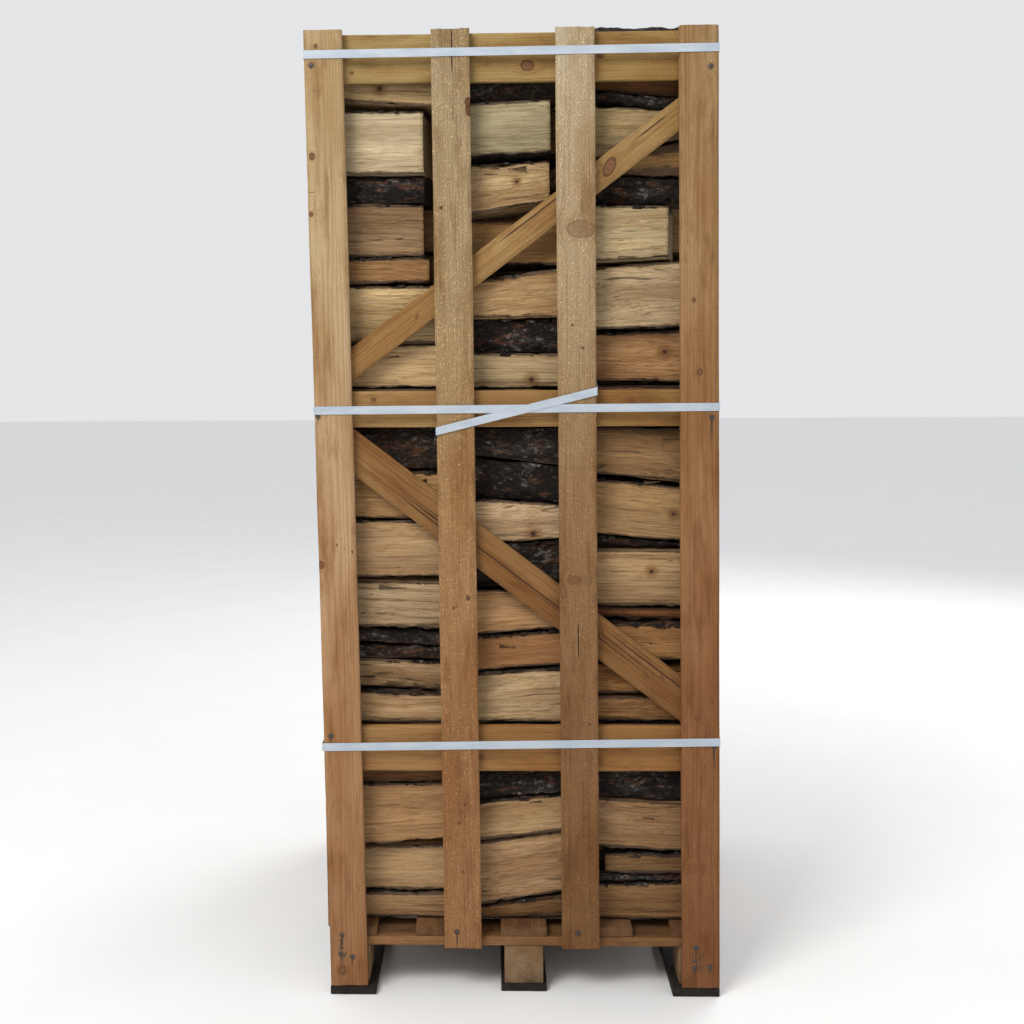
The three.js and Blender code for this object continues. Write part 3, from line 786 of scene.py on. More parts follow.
def firewood_finish():
    mixed = Finish("split_firewood", roughness=0.8, gloss=0.3)
    fibre = mixed.from_mesh("fibre")
    tone = mixed.from_mesh("tone", colour=True)
    bark = mixed.number_from_mesh("bark")
    sawn = mixed.number_from_mesh("sawn_end")
    parts = mixed.parts(fibre)
    wave = mixed.grain(fibre, (3, 9, 9), detail=1.0)
    wave = mixed.times(mixed.minus(wave, 0.5), mixed.scaled(mixed.number_from_mesh("coarse"), 0.055, 0.012))
    fibre = mixed.join(parts[0], mixed.plus(parts[1], wave), mixed.plus(parts[2], wave))
    coarse_log = mixed.number_from_mesh("coarse")
    end_room = mixed.number_from_mesh("end_room")
    fine = mixed.grain(fibre, (6, 560, 560), detail=4.0, rough=0.65)
    streak = mixed.grain(fibre, (2.2, 150, 150), detail=4.0, rough=0.6)
    heart = mixed.grain(fibre, (2.2, 22, 22), detail=2.0)
    radius = mixed.length(mixed.join(0.0, parts[1], parts[2]))
    rings = mixed.sum("SINE", mixed.scaled(heart, 10.0, mixed.times(radius, 6.283 / 0.0034)))
    darker = mixed.tinted(tone, 0.56, 0.43, 0.30)
    shadow = mixed.times(mixed.fade(heart, 0.44, 0.66, 0.0, 0.65), mixed.scaled(coarse_log, 0.5, 0.4))
    colour = mixed.mix(shadow, tone, darker)
    colour = mixed.mix(mixed.fade(rings, 0.1, 1.0, 0.0, 0.28), colour, darker)
    colour = mixed.mix(mixed.times(mixed.fade(streak, 0.52, 0.66, 0.0, 0.75), coarse_log), colour, darker)
    colour = mixed.mix(mixed.fade(fine, 0.48, 0.66, 0.0, 0.6), colour, darker)
    hairline = mixed.grain(fibre, (1.7, 300, 300), detail=2.0)
    cloud = mixed.grain(fibre, (9, 30, 30), detail=4.0, rough=0.65)
    clouded = mixed.fade(cloud, 0.44, 0.60, 0.15, 1.0)
    ridged = mixed.times(mixed.fade(hairline, 0.60, 0.66, 0.0, 0.65), clouded)
    colour = mixed.mix(ridged, colour, mixed.tinted(tone, 0.40, 0.27, 0.16))
    bright = mixed.tinted(colour, 1.22, 1.20, 1.14)
    colour = mixed.mix(mixed.fade(heart, 0.50, 0.36, 0.0, 0.7), colour, bright)
    colour = mixed.mix(mixed.fade(cloud, 0.54, 0.74, 0.0, 0.4), colour, mixed.tinted(tone, 0.44, 0.33, 0.22))
    lighter = mixed.tinted(colour, 1.28, 1.28, 1.26)
    torn = mixed.grain(fibre, (9, 52, 52), detail=4.0, rough=0.65)
    torn_here = mixed.fade(torn, 0.58, 0.68)
    colour = mixed.mix(mixed.times(torn_here, 0.55), colour, lighter)
    split = mixed.grain(fibre, (2.4, 170, 170), detail=2.0, rough=0.5)
    split_line = mixed.fade(split, 0.66, 0.72)
    split_here = mixed.times(split_line, mixed.times(coarse_log, 0.85))
    colour = mixed.mix(split_here, colour, (0.05, 0.025, 0.012, 1))
    cheeks = mixed.grain(fibre, (34, 90, 90), detail=4.0)
    colour = mixed.mix(mixed.fade(cheeks, 0.70, 0.78, 0.0, 0.5), colour, (0.10, 0.05, 0.025, 1))
    chips = mixed.grain(fibre, (120, 260, 260), detail=3.0, rough=0.7)
    frayed = mixed.times(mixed.fade(end_room, 0.012, 0.001), mixed.fade(chips, 0.48, 0.56))
    colour = mixed.mix(mixed.times(frayed, 0.8), colour, mixed.tinted(tone, 1.25, 1.2, 0.95))
    # The edges of every log face are painted with a ragged dark fringe: partly bark fringe, partly painted
    # shade of the gaps between logs.
    rim_noise = mixed.grain(fibre, (32, 90, 90), detail=4.0, rough=0.7)
    rim = mixed.minus(mixed.number_from_mesh("rim"), mixed.times(rim_noise, 0.012))
    colour = mixed.mix(mixed.fade(rim, 0.0008, -0.0022, 0.0, 0.85), colour, (0.045, 0.026, 0.016, 1))
    knot = mixed.parts(mixed.from_mesh("log_knot"))
    knot_far = mixed.length(mixed.join(knot[0], knot[1], 0.0))
    knot_size = mixed.sum("DIVIDE", knot_far, knot[2])
    colour = mixed.mix(mixed.fade(knot_size, 2.2, 0.9, 0.0, 0.8), colour, darker)
    colour = mixed.mix(mixed.fade(knot_size, 0.8, 0.6, 0.0, 0.7), colour, (0.12, 0.052, 0.022, 1))
    colour = mixed.mix(mixed.fade(knot_size, 0.42, 0.30, 0.0, 0.9), colour, (0.02, 0.009, 0.005, 1))
    split_height = mixed.plus(mixed.times(fine, 0.55), mixed.times(streak, 1.3))
    split_height = mixed.plus(split_height, mixed.times(torn_here, mixed.times(torn, 1.4)))
    split_height = mixed.minus(split_height, mixed.times(split_line, 0.8))
    steps = mixed.grain(fibre, (3.2, 44, 44), detail=3.0, rough=0.6, bend=0.3)
    for level in (0.42, 0.50, 0.58):
        split_height = mixed.plus(split_height, mixed.fade(steps, level, level + 0.012, 0.0, 0.9))
    split_height = mixed.times(split_height, mixed.scaled(coarse_log, 0.9, 0.35))
    split_height = mixed.plus(split_height, mixed.times(frayed, 0.8))
    # sawn ends: rings round the heart, cracks out from it, and greyer wood
    end_rings = mixed.bands(radius, 0.0031)
    way = mixed.step("VectorMath", operation="NORMALIZE")
    mixed.feed(way.inputs[0], mixed.join(0.0, parts[1], parts[2]))
    rays = mixed.grain(way.outputs[0], (9, 9, 9), detail=3.0, rough=0.7)
    saw = mixed.grain(fibre, (0, 260, 40), detail=2.0)
    end_colour = mixed.tinted(tone, 0.86, 0.80, 0.72)
    end_dark = mixed.tinted(tone, 0.48, 0.37, 0.25)
    end_colour = mixed.mix(mixed.fade(end_rings, -0.2, 1.0, 0.0, 0.5), end_colour, end_dark)
    end_colour = mixed.mix(mixed.fade(saw, 0.45, 0.75, 0.0, 0.5), end_colour, end_dark)
    blot = mixed.grain(fibre, (20, 24, 24), detail=3.0)
    end_colour = mixed.mix(mixed.fade(blot, 0.45, 0.7, 0.0, 0.6), end_colour, end_dark)
    own_shade = mixed.grain(fibre, (0.9, 1.2, 1.2), detail=0.0)
    own_colour = mixed.tinted(tone, 0.55, 0.47, 0.38)
    end_colour = mixed.mix(mixed.fade(own_shade, 0.35, 0.65, 0.0, 0.75), end_colour, own_colour)
    grey = mixed.grain(fibre, (30, 70, 70), detail=4.0, rough=0.7)
    end_colour = mixed.mix(mixed.fade(grey, 0.52, 0.70, 0.0, 0.55), end_colour, paint(84, 74, 64))
    crack = mixed.fade(rays, 0.63, 0.66)
    end_colour = mixed.mix(mixed.times(crack, 0.85), end_colour, (0.02, 0.012, 0.008, 1))
    wood = mixed.mix(sawn, colour, end_colour)
    end_height = mixed.minus(mixed.times(saw, 0.7), mixed.times(crack, 1.2))
    # bark: nearly black scales with grey lichen and rusty flakes
    scale_edge = mixed.step("TexVoronoi", feature="DISTANCE_TO_EDGE")
    warp = mixed.grain(fibre, (30, 60, 60), detail=3.0)
    warped = mixed.join(mixed.scaled(warp, 0.03, parts[0]), mixed.scaled(warp, 0.02, parts[1]), parts[2])
    mixed.feed(scale_edge.inputs["Vector"], mixed.stretch(warped, 60, 50, 50))
    scale_edge.inputs["Scale"].default_value = 1.0
    scale_edge.inputs["Randomness"].default_value = 1.0
    crust = mixed.grain(fibre, (90, 150, 150), detail=5.0, rough=0.75)
    plates = mixed.fade(scale_edge.outputs["Distance"], 0.0, 0.35, 0.45, 1.0)
    scales = mixed.times(plates, mixed.fade(crust, 0.34, 0.62))
    patch = mixed.grain(fibre, (10, 28, 28), detail=4.0, rough=0.7)
    flakes = mixed.grain(fibre, (26, 48, 70), detail=3.0, rough=0.6)
    bark_colour = mixed.mix(scales, paint(7, 5, 3), paint(42, 31, 25))
    lichen = mixed.mix(scales, paint(24, 20, 17), paint(102, 92, 84))
    bark_colour = mixed.mix(mixed.fade(patch, 0.51, 0.60, 0.0, 0.85), bark_colour, lichen)
    bark_colour = mixed.mix(mixed.fade(flakes, 0.56, 0.64, 0.0, 0.75), bark_colour, paint(104, 64, 40))
    specks = mixed.grain(fibre, (62, 120, 120), detail=5.0, rough=0.7)
    speckled = mixed.times(mixed.fade(specks, 0.55, 0.62), mixed.fade(patch, 0.44, 0.58))
    bark_colour = mixed.mix(mixed.times(speckled, 0.85), bark_colour, paint(150, 144, 136))
    bark_tone = mixed.tinted(tone, 0.62, 0.58, 0.55)
    bark_colour = mixed.mix(mixed.fade(crust, 0.35, 0.7, 0.05, 0.40), bark_colour, bark_tone)
    bark_height = mixed.plus(mixed.times(scales, 1.4), mixed.times(patch, 1.8))
    edge = mixed.grain(fibre, (40, 120, 120), detail=3.0)
    bark_here = mixed.fade(mixed.scaled(mixed.minus(edge, 0.5), 0.8, bark), 0.45, 0.55)
    bark_here = mixed.times(bark_here, mixed.minus(1.0, sawn))
    bark_here = mixed.plus(bark_here, mixed.times(sawn, mixed.fade(bark, 0.79, 0.84)))
    colour = mixed.mix(bark_here, wood, bark_colour)
    wood_height = mixed.mix(sawn, split_height, end_height)
    height = mixed.mix(bark_here, wood_height, mixed.times(bark_height, 3.2))
    wood_rough = mixed.fade(fine, 0.3, 0.7, 0.66, 0.9)
    rough = mixed.mix(bark_here, wood_rough, mixed.fade(patch, 0.45, 0.6, 0.52, 0.75))
    return mixed.done(colour, rough, mixed.relief(height, 0.0018, 1.0))


def log_side(corner, following, amount, bulge):
    """Points from one corner of a log's end towards the next, rounded outward by the bulge."""
    t = (np.arange(amount) / amount)[:, None]
    away = np.array([following[1] - corner[1], corner[0] - following[0]])
    return corner * (1 - t) + following * t + away * (4 * t * (1 - t)) * bulge


def log_section(corners, kinds, count, bulge, weights=None):
    """Points round a log's end: each side between corners is split wood or rounded bark."""
    corners = np.array(corners, float)
    ahead = np.roll(corners, -1, 0)
    lengths = np.linalg.norm(ahead - corners, axis=1)
    weighted = lengths * np.array(weights if weights is not None else np.ones(len(lengths)))
    shares = np.maximum(2, np.round(count * weighted / weighted.sum())).astype(int)
    points = [log_side(*side) for side in zip(corners, ahead, shares, bulge)]
    barks, rims = [], []
    for kind, length, amount in zip(kinds, lengths, shares):
        barks.append(np.full(amount, float(kind)))
        if kind:
            barks[-1][0] = 0.6
        steps = np.arange(amount)
        rims.append(length * np.minimum(steps, amount - steps) / amount)
    return np.concatenate(points), np.concatenate(barks), shares, np.concatenate(rims)


def cut_log(left, right, kinds, bulge, ends, tone, seed, count=24, stations=8, rough=1.0, skew=(0.0, 0.0),
            knots=(), heart=None, weights=None, coarse=0.5):
    """One log, lofted from its left end section to its right one, as points, faces and notes."""
    left_points, barks, shares, rims = log_section(left, kinds, count, bulge, weights)
    right_corners = np.array(right, float)
    right_sides = zip(right_corners, np.roll(right_corners, -1, 0), shares, bulge)
    right_points = np.concatenate([log_side(*side) for side in right_sides])
    ring = len(left_points)
    t = np.concatenate(([0], np.linspace(0.008, 0.992, stations), [1]))[:, None, None]
    flat = left_points[None] * (1 - t) + right_points[None] * t
    centre = flat.mean(1, keepdims=True)
    before, after = np.roll(flat, 1, 1), np.roll(flat, -1, 1)
    along_side = after - before
    outward = np.stack([along_side[..., 1], -along_side[..., 0]], -1)
    outward /= np.maximum(np.linalg.norm(outward, axis=-1, keepdims=True), 1e-9)
    x = ends[0] + (ends[1] - ends[0]) * t[..., 0] + np.zeros(flat.shape[:2])
    x = x + ((1 - t[..., 0]) * skew[0] + t[..., 0] * skew[1]) * (flat[..., 0] - flat[..., 0].min()) / 0.1
    at = np.stack([x, flat[..., 0], flat[..., 1]], -1)
    long_lumps = crumbs(at * (7, 34, 34) + seed * 3.7, seed)
    terraces = crumbs(at * (5, 24, 24) + seed * 1.9, seed + 5) * 2.2
    terraces = np.floor(terraces) + np.clip((terraces - np.floor(terraces)) * 3, 0, 1)
    notches = np.clip(crumbs(at * (46, 40, 40), seed + 6) - 0.25, 0, 1)
    ridges = crumbs(at * (11, 130, 130) + seed, seed + 1)
    hairs = crumbs(at * (34, 420, 420), seed + 2)
    lumps = crumbs(at * (38, 60, 60), seed + 3)
    knobs = crumbs(at * (90, 120, 120), seed + 4)
    bark = np.broadcast_to(barks[None], x.shape)
    wood_push = 0.0030 * long_lumps + 0.0018 * ridges + 0.0006 * hairs + 0.0014 * terraces
    wood_push = wood_push * (0.55 + 0.9 * coarse)
    near_rim = np.exp(-rims / 0.006)[None]
    wood_push = wood_push - 0.0075 * notches * near_rim
    bark_push = 0.0036 * lumps + 0.0030 * knobs
    push = rough * np.where(bark > 0.5, bark_push, wood_push)
    tucked = np.where((t[..., 0] == 0) | (t[..., 0] == 1), 0.0012, 0.0)
    push = np.minimum(push, 0.0032)
    flat = flat + outward * (push - 0.0016 - tucked)[..., None]
    leaning_x = x + stack_aside + (flat[..., 1] - deck_height) * rack
    points = np.stack([leaning_x, flat[..., 0] + stack_inward, flat[..., 1]], -1)
    rows = points.shape[0]
    points = points.reshape(-1, 3)
    cores = np.stack([points[:ring].mean(0), points[-ring:].mean(0)])
    faces = tube_faces(rows, ring)
    sides = len(faces)
    last = (rows - 1) * ring
    left_core, right_core = rows * ring, rows * ring + 1
    for j in range(ring):
        n = (j + 1) % ring
        faces.append((n, j, left_core))
        faces.append((last + j, last + n, right_core))
    points = np.concatenate([points, cores])
    heart = np.array(heart if heart is not None else left_points.mean(0))
    drift = (centre - centre.mean(0, keepdims=True) + np.zeros_like(flat)).reshape(-1, 2)
    drift = np.concatenate([drift, drift[:1], drift[-1:]])
    fibre = np.stack([points[:, 0] + 3.1 * seed, points[:, 1] - drift[:, 0] - heart[0],
                      points[:, 2] - drift[:, 1] - heart[1]], -1)
    barks = np.concatenate([bark.ravel(), [0, 0]])
    sawn = np.zeros(len(faces))
    sawn[sides:] = 1.0
    near = np.tile(np.array((9, 9, 0.01), float), (len(points), 1))
    for spot in knots:
        offset = points[:, [0, 2]] - np.array(spot[:2])
        closer = np.linalg.norm(offset, axis=1) < np.linalg.norm(near[:, :2], axis=1)
        near[closer, :2] = offset[closer]
        near[closer, 2] = spot[2]
    near[points[:, 1] > points[:, 1].min() + 0.05] = (9, 9, 0.01)
    tones = np.tile(np.array(paint(*tone)), (len(points), 1))
    edge_room = np.concatenate([np.broadcast_to(rims[None], x.shape).ravel(), [0.05, 0.05]])
    from_end = np.minimum(t[..., 0], 1 - t[..., 0]) * abs(ends[1] - ends[0]) + np.zeros_like(x)
    end_room = np.concatenate([from_end.ravel(), [0.0, 0.0]])
    coarseness = np.full(len(points), float(coarse))
    return points, faces, fibre, barks, sawn, near, tones, edge_room, end_room, coarseness


def stack_piece(name, logs, column):
    """Several logs as one joined piece that stands for the column's solid."""
    points, faces = [], []
    kept = {"fibre": [], "bark": [], "sawn_end": [], "log_knot": [], "tone": [], "rim": [],
            "end_room": [], "coarse": []}
    start = 0
    for log_points, log_faces, *rest in logs:
        points.append(log_points)
        faces += [tuple(start + k for k in face) for face in log_faces]
        start += len(log_points)
        for key, value in zip(kept, rest):
            kept[key].append(value)
    notes = {key: np.concatenate(values) for key, values in kept.items()}
    return finished_piece(name, np.concatenate(points), faces, firewood, "firewood",
                          [f"logs_{column}"], notes, flat=notes["sawn_end"] > 0.5)


firewood = firewood_finish()


def edge_chips(ends, tops, y, amount, seed, size=1.0):
    """Loose flakes of bark that still hang on the top edge of a log."""
    chips = []
    for number in range(amount):
        spot = ends[0] + 0.01 + (ends[1] - ends[0] - 0.03) * chance.random()
        share = (spot - ends[0]) / (ends[1] - ends[0])
        z = tops[0] + (tops[1] - tops[0]) * share - 0.002
        half = 0.5 * chance.uniform(0.006, 0.024)
        tall = size * chance.uniform(0.003, 0.009)
        deep = chance.uniform(0.002, 0.005)
        slope = chance.uniform(-0.003, 0.003)
        flake = [(y - 0.001 - deep * 0.3, z + tall * 0.4), (y - 0.001, z - tall * 0.6),
                 (y + deep, z - tall * 0.5), (y + deep, z + tall * 0.5)]
        other = [(a, b + slope) for a, b in flake]
        chips.append(cut_log(flake, other, (1, 1, 1, 1), (0.05,) * 4, (spot - half, spot + half),
                             (92, 66, 46), seed + number, count=12, stations=3, rough=0.45,
                             heart=(y + 0.02, z)))
    return chips


def splinters(ends, tops, bottoms, y, lean, tone, amount, seed):
    """Torn fibres that lift off a split face, thick at the root and drawn out to a point."""
    slivers = []
    for number in range(amount):
        long = chance.uniform(0.02, 0.07)
        spot = chance.uniform(ends[0], ends[1] - long)
        share = (spot - ends[0]) / (ends[1] - ends[0])
        up = chance.random()
        top = tops[0] + (tops[1] - tops[0]) * share
        bottom = bottoms[0] + (bottoms[1] - bottoms[0]) * share
        z = bottom + (top - bottom) * up
        face = y + max(0, 2 * lean) * up + max(0, -2 * lean) * (1 - up)
        tall = chance.uniform(0.002, 0.0055)
        root = [(face - 0.0008, z + tall), (face - 0.0008, z - tall),
                (face + 0.003, z - tall), (face + 0.003, z + tall)]
        tip_z = z + chance.uniform(-0.004, 0.004)
        tip = [(face - 0.0022, tip_z + 0.0004), (face - 0.0022, tip_z - 0.0004),
               (face + 0.0006, tip_z - 0.0006), (face + 0.0006, tip_z + 0.0006)]
        pair = (root, tip) if chance.random() < 0.5 else (tip, root)
        pale = tuple(min(235, part * 1.06) for part in tone)
        slivers.append(cut_log(*pair, (0, 0, 0, 0), (0.04,) * 4, (spot, spot + long), pale,
                               seed + number, count=10, stations=8, rough=0.35,
                               heart=(face + 0.06, z), coarse=0.8))
    return slivers


# The logs of the front row, from the top down: the top edge's height in millimetres at the log's left and
# right end, the bottom edge's, the face, its tone, and what else marks it. A few tones are darkened with
# painted shade where the log lies in shadow under a rail or in a recess.
front_rows = {
    "left": [
        (1922, 1922, 1886, 1884, "split", (170, 145, 105), {}),
        (1880, 1880, 1813, 1795, "split", (172, 146, 104), dict(knots=[(-0.268, 1.836, 0.010)])),
        (1791, 1792, 1667, 1667, "split", (177, 160, 129),
         dict(right=-0.177, set=0.003, skew=0.016, lean=0.0, coarse=0.12, chips=True)),
        (1664, 1663, 1612, 1611, "bark", (44, 36, 30), dict(right=-0.178, skew=0.02)),
        (1610, 1606, 1506, 1504, "split", (137, 111, 80),
         dict(right=-0.179, set=0.005, lean=-0.007, coarse=0.6, chips=True)),
        (1503, 1502, 1450, 1454, "half", (132, 98, 60), dict(right=-0.169, set=0.004, flake=1.7)),
        (1447, 1446, 1334, 1333, "split", (181, 156, 114), {}),
        (1331, 1330, 1242, 1243, "split", (200, 171, 127), {}),
        (1239, 1239, 1166, 1166, "split", (150, 120, 80), {}),
        (1162, 1162, 1078, 1077, "bark", (120, 90, 60), dict(set=0.012)),
        (1074, 1073, 978, 976, "split", (164, 128, 84), {}),
        (974, 973, 857, 857, "split", (160, 130, 94), {}),
        (853, 846, 756, 747, "split", (168, 144, 110), dict(coarse=0.9, splinters=6)),
        (752, 742, 722, 714, "bark", (90, 74, 60), dict(set=0.018)),
        (718, 710, 696, 686, "bark", (120, 84, 50), dict(set=0.006)),
        (692, 680, 626, 618, "half", (164, 136, 100), dict(coarse=0.9, splinters=7)),
        (623, 617, 556, 556, "split", (176, 145, 106), {}),
        (553, 553, 470, 470, "split", (140, 110, 72), {}),
        # tone darkened with painted shadow from the lower rail above it
        (466, 466, 426, 430, "split", (110, 74, 42), dict(set=0.02)),
        (424, 428, 294, 313, "split", (162, 126, 86), {}),
        (287, 293, 199, 201, "split", (160, 130, 94), {}),
        (196, 198, 138, 138, "split", (159, 126, 89), {}),
    ],
    "middle": [
        (1922, 1922, 1852, 1852, "bark", (120, 94, 60), {}),
        (1847, 1850, 1806, 1814, "bark", (110, 86, 54), {}),
        (1803, 1811, 1698, 1707, "split", (146, 134, 104),
         dict(right=0.0755, set=0.004, coarse=0.25, lean=0.0, chips=True)),
        (1684, 1693, 1582, 1612, "split", (172, 145, 106),
         dict(right=0.073, set=0.006, coarse=0.95, lean=0.002, chips=True, knots=[(0.004, 1.650, 0.007)])),
        # tone darkened with painted shade of its recess
        (1578, 1576, 1490, 1487, "split", (150, 114, 70), dict(set=0.03)),
        (1452, 1482, 1382, 1381, "split", (172, 140, 98), {}),
        (1379, 1378, 1316, 1312, "bark", (60, 40, 28), dict(set=0.02)),
        (1314, 1308, 1240, 1240, "split", (170, 148, 112), dict(knots=[(0.033, 1.258, 0.010)])),
        (1237, 1237, 1166, 1166, "split", (150, 120, 80), {}),
        (1161, 1161, 1104, 1084, "bark", (90, 70, 50), dict(set=0.008)),
        (1101, 1081, 1022, 1003, "bark", (66, 46, 32), dict(set=0.012)),
        (1018, 1004, 922, 936, "split", (180, 152, 118), dict(knots=[(0.036, 0.945, 0.012)])),
        (919, 931, 832, 834, "bark", (100, 76, 50), dict(set=0.022)),
        (828, 831, 738, 753, "split", (160, 124, 84), {}),
        (732, 749, 660, 677, "half", (146, 104, 64), {}),
        (656, 672, 558, 558, "split", (168, 142, 106), {}),
        (554, 554, 470, 470, "split", (140, 110, 72), {}),
        (456, 458, 391, 409, "bark", (80, 60, 44), dict(set=0.014)),
        (388, 405, 309, 336, "split", (168, 138, 98), {}),
        (298, 332, 169, 205, "split", (162, 130, 94), {}),
        (163, 200, 138, 138, "split", (120, 88, 54), {}),
    ],
    "right": [
        (1953, 1953, 1882, 1880, "bark", (90, 70, 50), dict(set=0.004)),
        # tone darkened with painted shadow from the top rail above it
        (1876, 1874, 1832, 1812, "split", (96, 60, 26), dict(set=0.012)),
        (1829, 1808, 1806, 1785, "bark", (70, 50, 38), dict(set=0.01)),
        (1802, 1781, 1684, 1738, "split", (148, 128, 91), {}),
        (1680, 1735, 1668, 1656, "split", (154, 118, 74), dict(set=0.008)),
        (1665, 1653, 1606, 1604, "bark", (70, 54, 40), dict(set=0.012)),
        (1603, 1600, 1491, 1497, "split", (172, 153, 117),
         dict(right=0.307, set=0.005, skew=0.02, coarse=0.55, lean=0.0)),
        (1480, 1493, 1356, 1362, "split", (172, 150, 116), {}),
        (1352, 1352, 1254, 1251, "split", (147, 110, 72), dict(knots=[(0.300, 1.312, 0.010)])),
        (1246, 1246, 1168, 1168, "split", (120, 90, 60), dict(set=0.016)),
        (1160, 1158, 1071, 1046, "split", (135, 104, 68), {}),
        (1060, 1037, 948, 926, "split", (147, 116, 78), dict(knots=[(0.319, 0.985, 0.008)])),
        (944, 922, 918, 917, "bark", (90, 60, 40), dict(set=0.012)),
        (913, 912, 798, 794, "split", (164, 134, 96), dict(knots=[(0.275, 0.868, 0.009)])),
        # tone darkened with painted shade of its recess
        (792, 790, 766, 762, "split", (120, 78, 44), dict(set=0.028, coarse=0.3)),
        (762, 758, 689, 688, "half", (148, 108, 64), {}),
        (678, 678, 617, 617, "split", (148, 106, 60), dict(set=0.014)),
        (612, 611, 558, 558, "split", (142, 104, 64), {}),
        (554, 554, 470, 470, "split", (140, 110, 72), {}),
        (455, 455, 404, 390, "bark", (44, 36, 30), dict(set=0.008)),
        (401, 387, 297, 286, "split", (156, 124, 88), {}),
        (279, 280, 242, 243, "split", (120, 90, 56), dict(left=0.173, set=0.006, coarse=1.0, splinters=14)),
        (238, 239, 221, 223, "bark", (60, 46, 36), dict(set=0.008)),
        (217, 221, 139, 139, "split", (130, 96, 60), {}),
    ],
}
layers = 18
log_play = 0.016
side_reach = 0.012
for order, (column, (start, end)) in enumerate(columns.items()):
    heights = np.linspace(deck_height + 0.001, stack_top - 0.004, layers + 1)
    heights[1:-1] += chance.uniform(-0.020, 0.020, layers - 1)
    front_edge = stack_front + 0.108 + chance.uniform(-0.022, 0.022, layers + 1)
    back_edge = stack_back - 0.108 + chance.uniform(-0.022, 0.022, layers + 1)
    swing, start_at = chance.uniform(0.006, 0.015, layers + 1), chance.uniform(0, 6, layers + 1)
    swing[0] = swing[-1] = 0.0

    def layer_line(k, y):
        return heights[k] + swing[k] * math.sin(y * 9 + start_at[k])

    def behind(height, edge):
        return float(np.interp(height, heights, edge))

    def log_ends(low, high):
        """Where a log begins and ends. Between rails, one can reach on into the side slats."""
        clear = all(high < bottom or low > top for bottom, top in rail_levels)
        first = start + chance.uniform(0.0, log_play) - (side_reach if clear and column == "left" else 0)
        final = end - chance.uniform(0.0, log_play) + (side_reach if clear and column == "right" else 0)
        return first, final

    # the front row, as listed above
    fronts = []
    listed = front_rows[column]
    for number, (*heights_in_mm, face, tone, marks) in enumerate(listed):
        seed = 100 + number + 40 * order
        setback = marks.get("set", float(chance.uniform(0.003, 0.016)))
        lean = marks.get("lean", float(chance.uniform(-0.009, 0.009)))
        coarse = marks.get("coarse", float(chance.uniform(0.15, 0.85)))
        tops = [height / 1000 for height in heights_in_mm[:2]]
        bottoms = [height / 1000 for height in heights_in_mm[2:]]
        highest, lowest = max(tops), min(bottoms)
        first, final = log_ends(lowest, highest)
        ends = marks.get("left", first), marks.get("right", final)
        y = stack_front + setback
        sections = []
        for side, (top, bottom) in enumerate(zip(tops, bottoms)):
            above = listed[number - 1][2 + side] / 1000 if number else top + 0.003
            beneath = listed[number + 1][side] / 1000 if number + 1 < len(listed) else bottom - 0.001
            back_top, back_bottom = (top + above) / 2 - 0.001, (bottom + beneath) / 2 + 0.001
            round_back = 0.30 * (top - bottom) if face == "bark" else 0.0
            sections.append([(y + max(0, 2 * lean) + 0.3 * round_back, top),
                             (y + max(0, -2 * lean) + 0.3 * round_back, bottom),
                             (behind(back_bottom, front_edge) - 0.004, back_bottom),
                             (behind(back_top, front_edge) - 0.004, back_top)])
        crusted = int(chance.random() < 0.45)
        kinds = {"split": (0, 1 - crusted, 0, crusted), "bark": (1, 0, 0, 1), "half": (0, 0, 0, 1)}[face]
        bulge = (0.20 if face == "bark" else 0.03, 0.01, 0.02, 0.01)
        skew = marks.get("skew", float(chance.uniform(-0.004, 0.004)))
        count = 62 if highest - lowest > 0.06 else 44
        fronts.append(cut_log(*sections, kinds, bulge, ends, tone, seed, count=count, stations=34,
                              skew=(0.0, skew), knots=marks.get("knots", ()),
                              heart=(stack_front + 0.09, (highest + lowest) / 2),
                              weights=(3.2, 1.0, 0.5, 1.0), coarse=coarse))
        if crusted or face == "half" or marks.get("chips"):
            fronts += edge_chips(ends, tops, y + max(0, 2 * lean), 12 if face == "half" else 6,
                                 2000 + 10 * seed, marks.get("flake", 1.0))
        torn = marks.get("splinters", int(4 * coarse) if face != "bark" else 0)
        fronts += splinters(ends, tops, bottoms, y, lean, tone, torn, 3000 + 10 * seed)
    for third, low, high in (("upper", 1.2, 9), ("middle", 0.51, 1.2), ("lower", 0, 0.51)):
        logs = [log for log in fronts if low < log[0][:, 2].mean() <= high]
        stack_piece(f"firewood_{column}_front_{third}", logs, column)

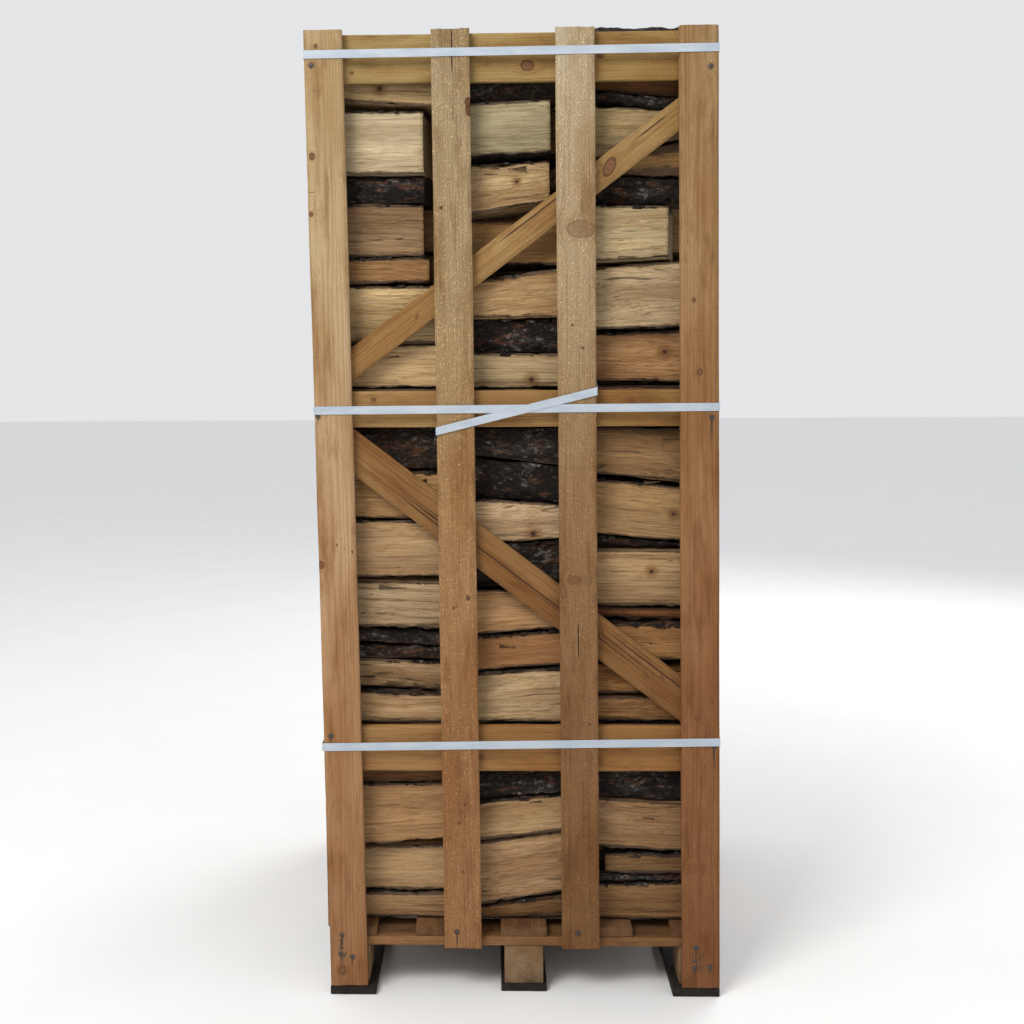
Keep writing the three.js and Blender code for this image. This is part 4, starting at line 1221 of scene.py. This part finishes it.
    # the back row, split at random heights
    backs = []
    height = stack_top - float(chance.uniform(0, 0.012))
    while height > deck_height + 0.02:
        tall = float(chance.uniform(0.055, 0.125))
        low = height - tall if height - tall > deck_height + 0.045 else deck_height + 0.002
        tilt = chance.uniform(-0.007, 0.007, 2)
        face = chance.choice(["split", "split", "bark", "half"])
        first, final = log_ends(low, height)
        y = stack_back - float(chance.uniform(0.0, 0.014))
        sections = []
        for sign in (-1, 1):
            top = min(stack_top, height - 0.002 + sign * tilt[0] * 0.5)
            bottom = max(deck_height + 0.001, low + 0.002 + sign * tilt[1] * 0.5)
            back_top, back_bottom = top - 0.05 * (top - bottom), bottom + 0.05 * (top - bottom)
            curve = 0.09 * (top - bottom) if face == "bark" else 0.0
            sections.append([(behind(back_top, back_edge) + 0.004, back_top),
                             (behind(back_bottom, back_edge) + 0.004, back_bottom),
                             (y - curve, bottom), (y - curve, top)])
        kinds = {"split": (1, 0, 0, 0), "bark": (0, 0, 1, 0), "half": (0, 0, 0, 1)}[face]
        bulge = (0.05, 0.03, 0.20 if face == "bark" else 0.03, 0.03)
        light = chance.random()
        tone = (150 + 34 * light, 118 + 36 * light, 76 + 42 * light)
        backs.append(cut_log(*sections, kinds, bulge, (first, final), tone,
                             400 + len(backs) + 40 * order, count=42, stations=22,
                             weights=(0.5, 1.0, 3.0, 1.0), heart=(stack_back - 0.09, (height + low) / 2)))
        height = low
    stack_piece(f"firewood_{column}_back", backs, column)

    # the logs between, laid in rough layers as wedges that nest point up and point down
    cores = []
    seen = column != "middle"
    for k in range(layers):
        cuts = [(front_edge[k], front_edge[k + 1])]
        point_up = chance.random() < 0.5
        while max(cuts[-1]) < min(back_edge[k], back_edge[k + 1]) - 0.105:
            wide, narrow = chance.uniform(0.075, 0.125), chance.uniform(0.003, 0.028)
            if chance.random() < 0.2:
                narrow = wide * chance.uniform(0.7, 1.0)
            low_step, high_step = (wide, narrow) if point_up else (narrow, wide)
            cuts.append((cuts[-1][0] + low_step, cuts[-1][1] + high_step))
            point_up = not point_up
        if back_edge[k] - cuts[-1][0] + back_edge[k + 1] - cuts[-1][1] < 0.07 and len(cuts) > 1:
            cuts.pop()
        cuts.append((back_edge[k], back_edge[k + 1]))
        for (low_a, high_a), (low_b, high_b) in zip(cuts, cuts[1:]):
            corners = [(high_a, layer_line(k + 1, high_a)), (low_a, layer_line(k, low_a)),
                       (low_b, layer_line(k, low_b)), (high_b, layer_line(k + 1, high_b))]
            if high_b - high_a < 0.012:
                corners = [((high_a + high_b) / 2, layer_line(k + 1, high_a)), *corners[1:3]]
                barked = 1
            elif low_b - low_a < 0.012:
                corners = [corners[0], ((low_a + low_b) / 2, layer_line(k, low_a)), corners[3]]
                barked = 2
            else:
                barked = 3 if high_b - high_a > low_b - low_a else 1
            group = np.array(corners)
            sides = len(group)
            centre = group.mean(0)
            away = group - centre
            group = centre + away * (1 - 0.0022 / np.linalg.norm(away, axis=1))[:, None]
            if chance.random() < 0.45:
                barked = -1
            bulge = [-0.012] * sides
            if barked >= 0:
                tuck = chance.uniform(0.004, 0.013)
                for corner in (barked, (barked + 1) % sides):
                    group[corner, 1] += tuck * (1 if group[corner, 1] < centre[1] else -1)
                span = np.linalg.norm(group[(barked + 1) % sides] - group[barked])
                bulge[barked] = tuck / max(span, 0.03)
            kinds = [int(i == barked) for i in range(sides)]
            first, final = log_ends(group[:, 1].min(), group[:, 1].max())
            heart = group[(barked + 2) % sides] if barked >= 0 else group[0]
            light = chance.random()
            tone = (140 + 50 * light, 108 + 52 * light, 68 + 54 * light)
            count, stations, rough = (28, 6, 0.9) if seen or k == layers - 1 else (10, 2, 0.5)
            twist = chance.uniform(-0.0015, 0.0015, group.shape)
            skew = tuple(chance.uniform(-0.004, 0.004, 2))
            coarse = float(chance.uniform(0.2, 0.9))
            cores.append(cut_log(group, group + twist, kinds, bulge, (first, final), tone,
                                 600 + len(cores) + 400 * order, count=count, stations=stations,
                                 rough=rough, heart=heart, skew=skew, coarse=coarse))
    half = len(cores) // 2
    stack_piece(f"firewood_{column}_core_front", cores[:half], column)
    stack_piece(f"firewood_{column}_core_back", cores[half:], column)

low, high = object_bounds()
{"cad": [list(cad_low), list(cad_high)], "visual": [list(low), list(high)]}
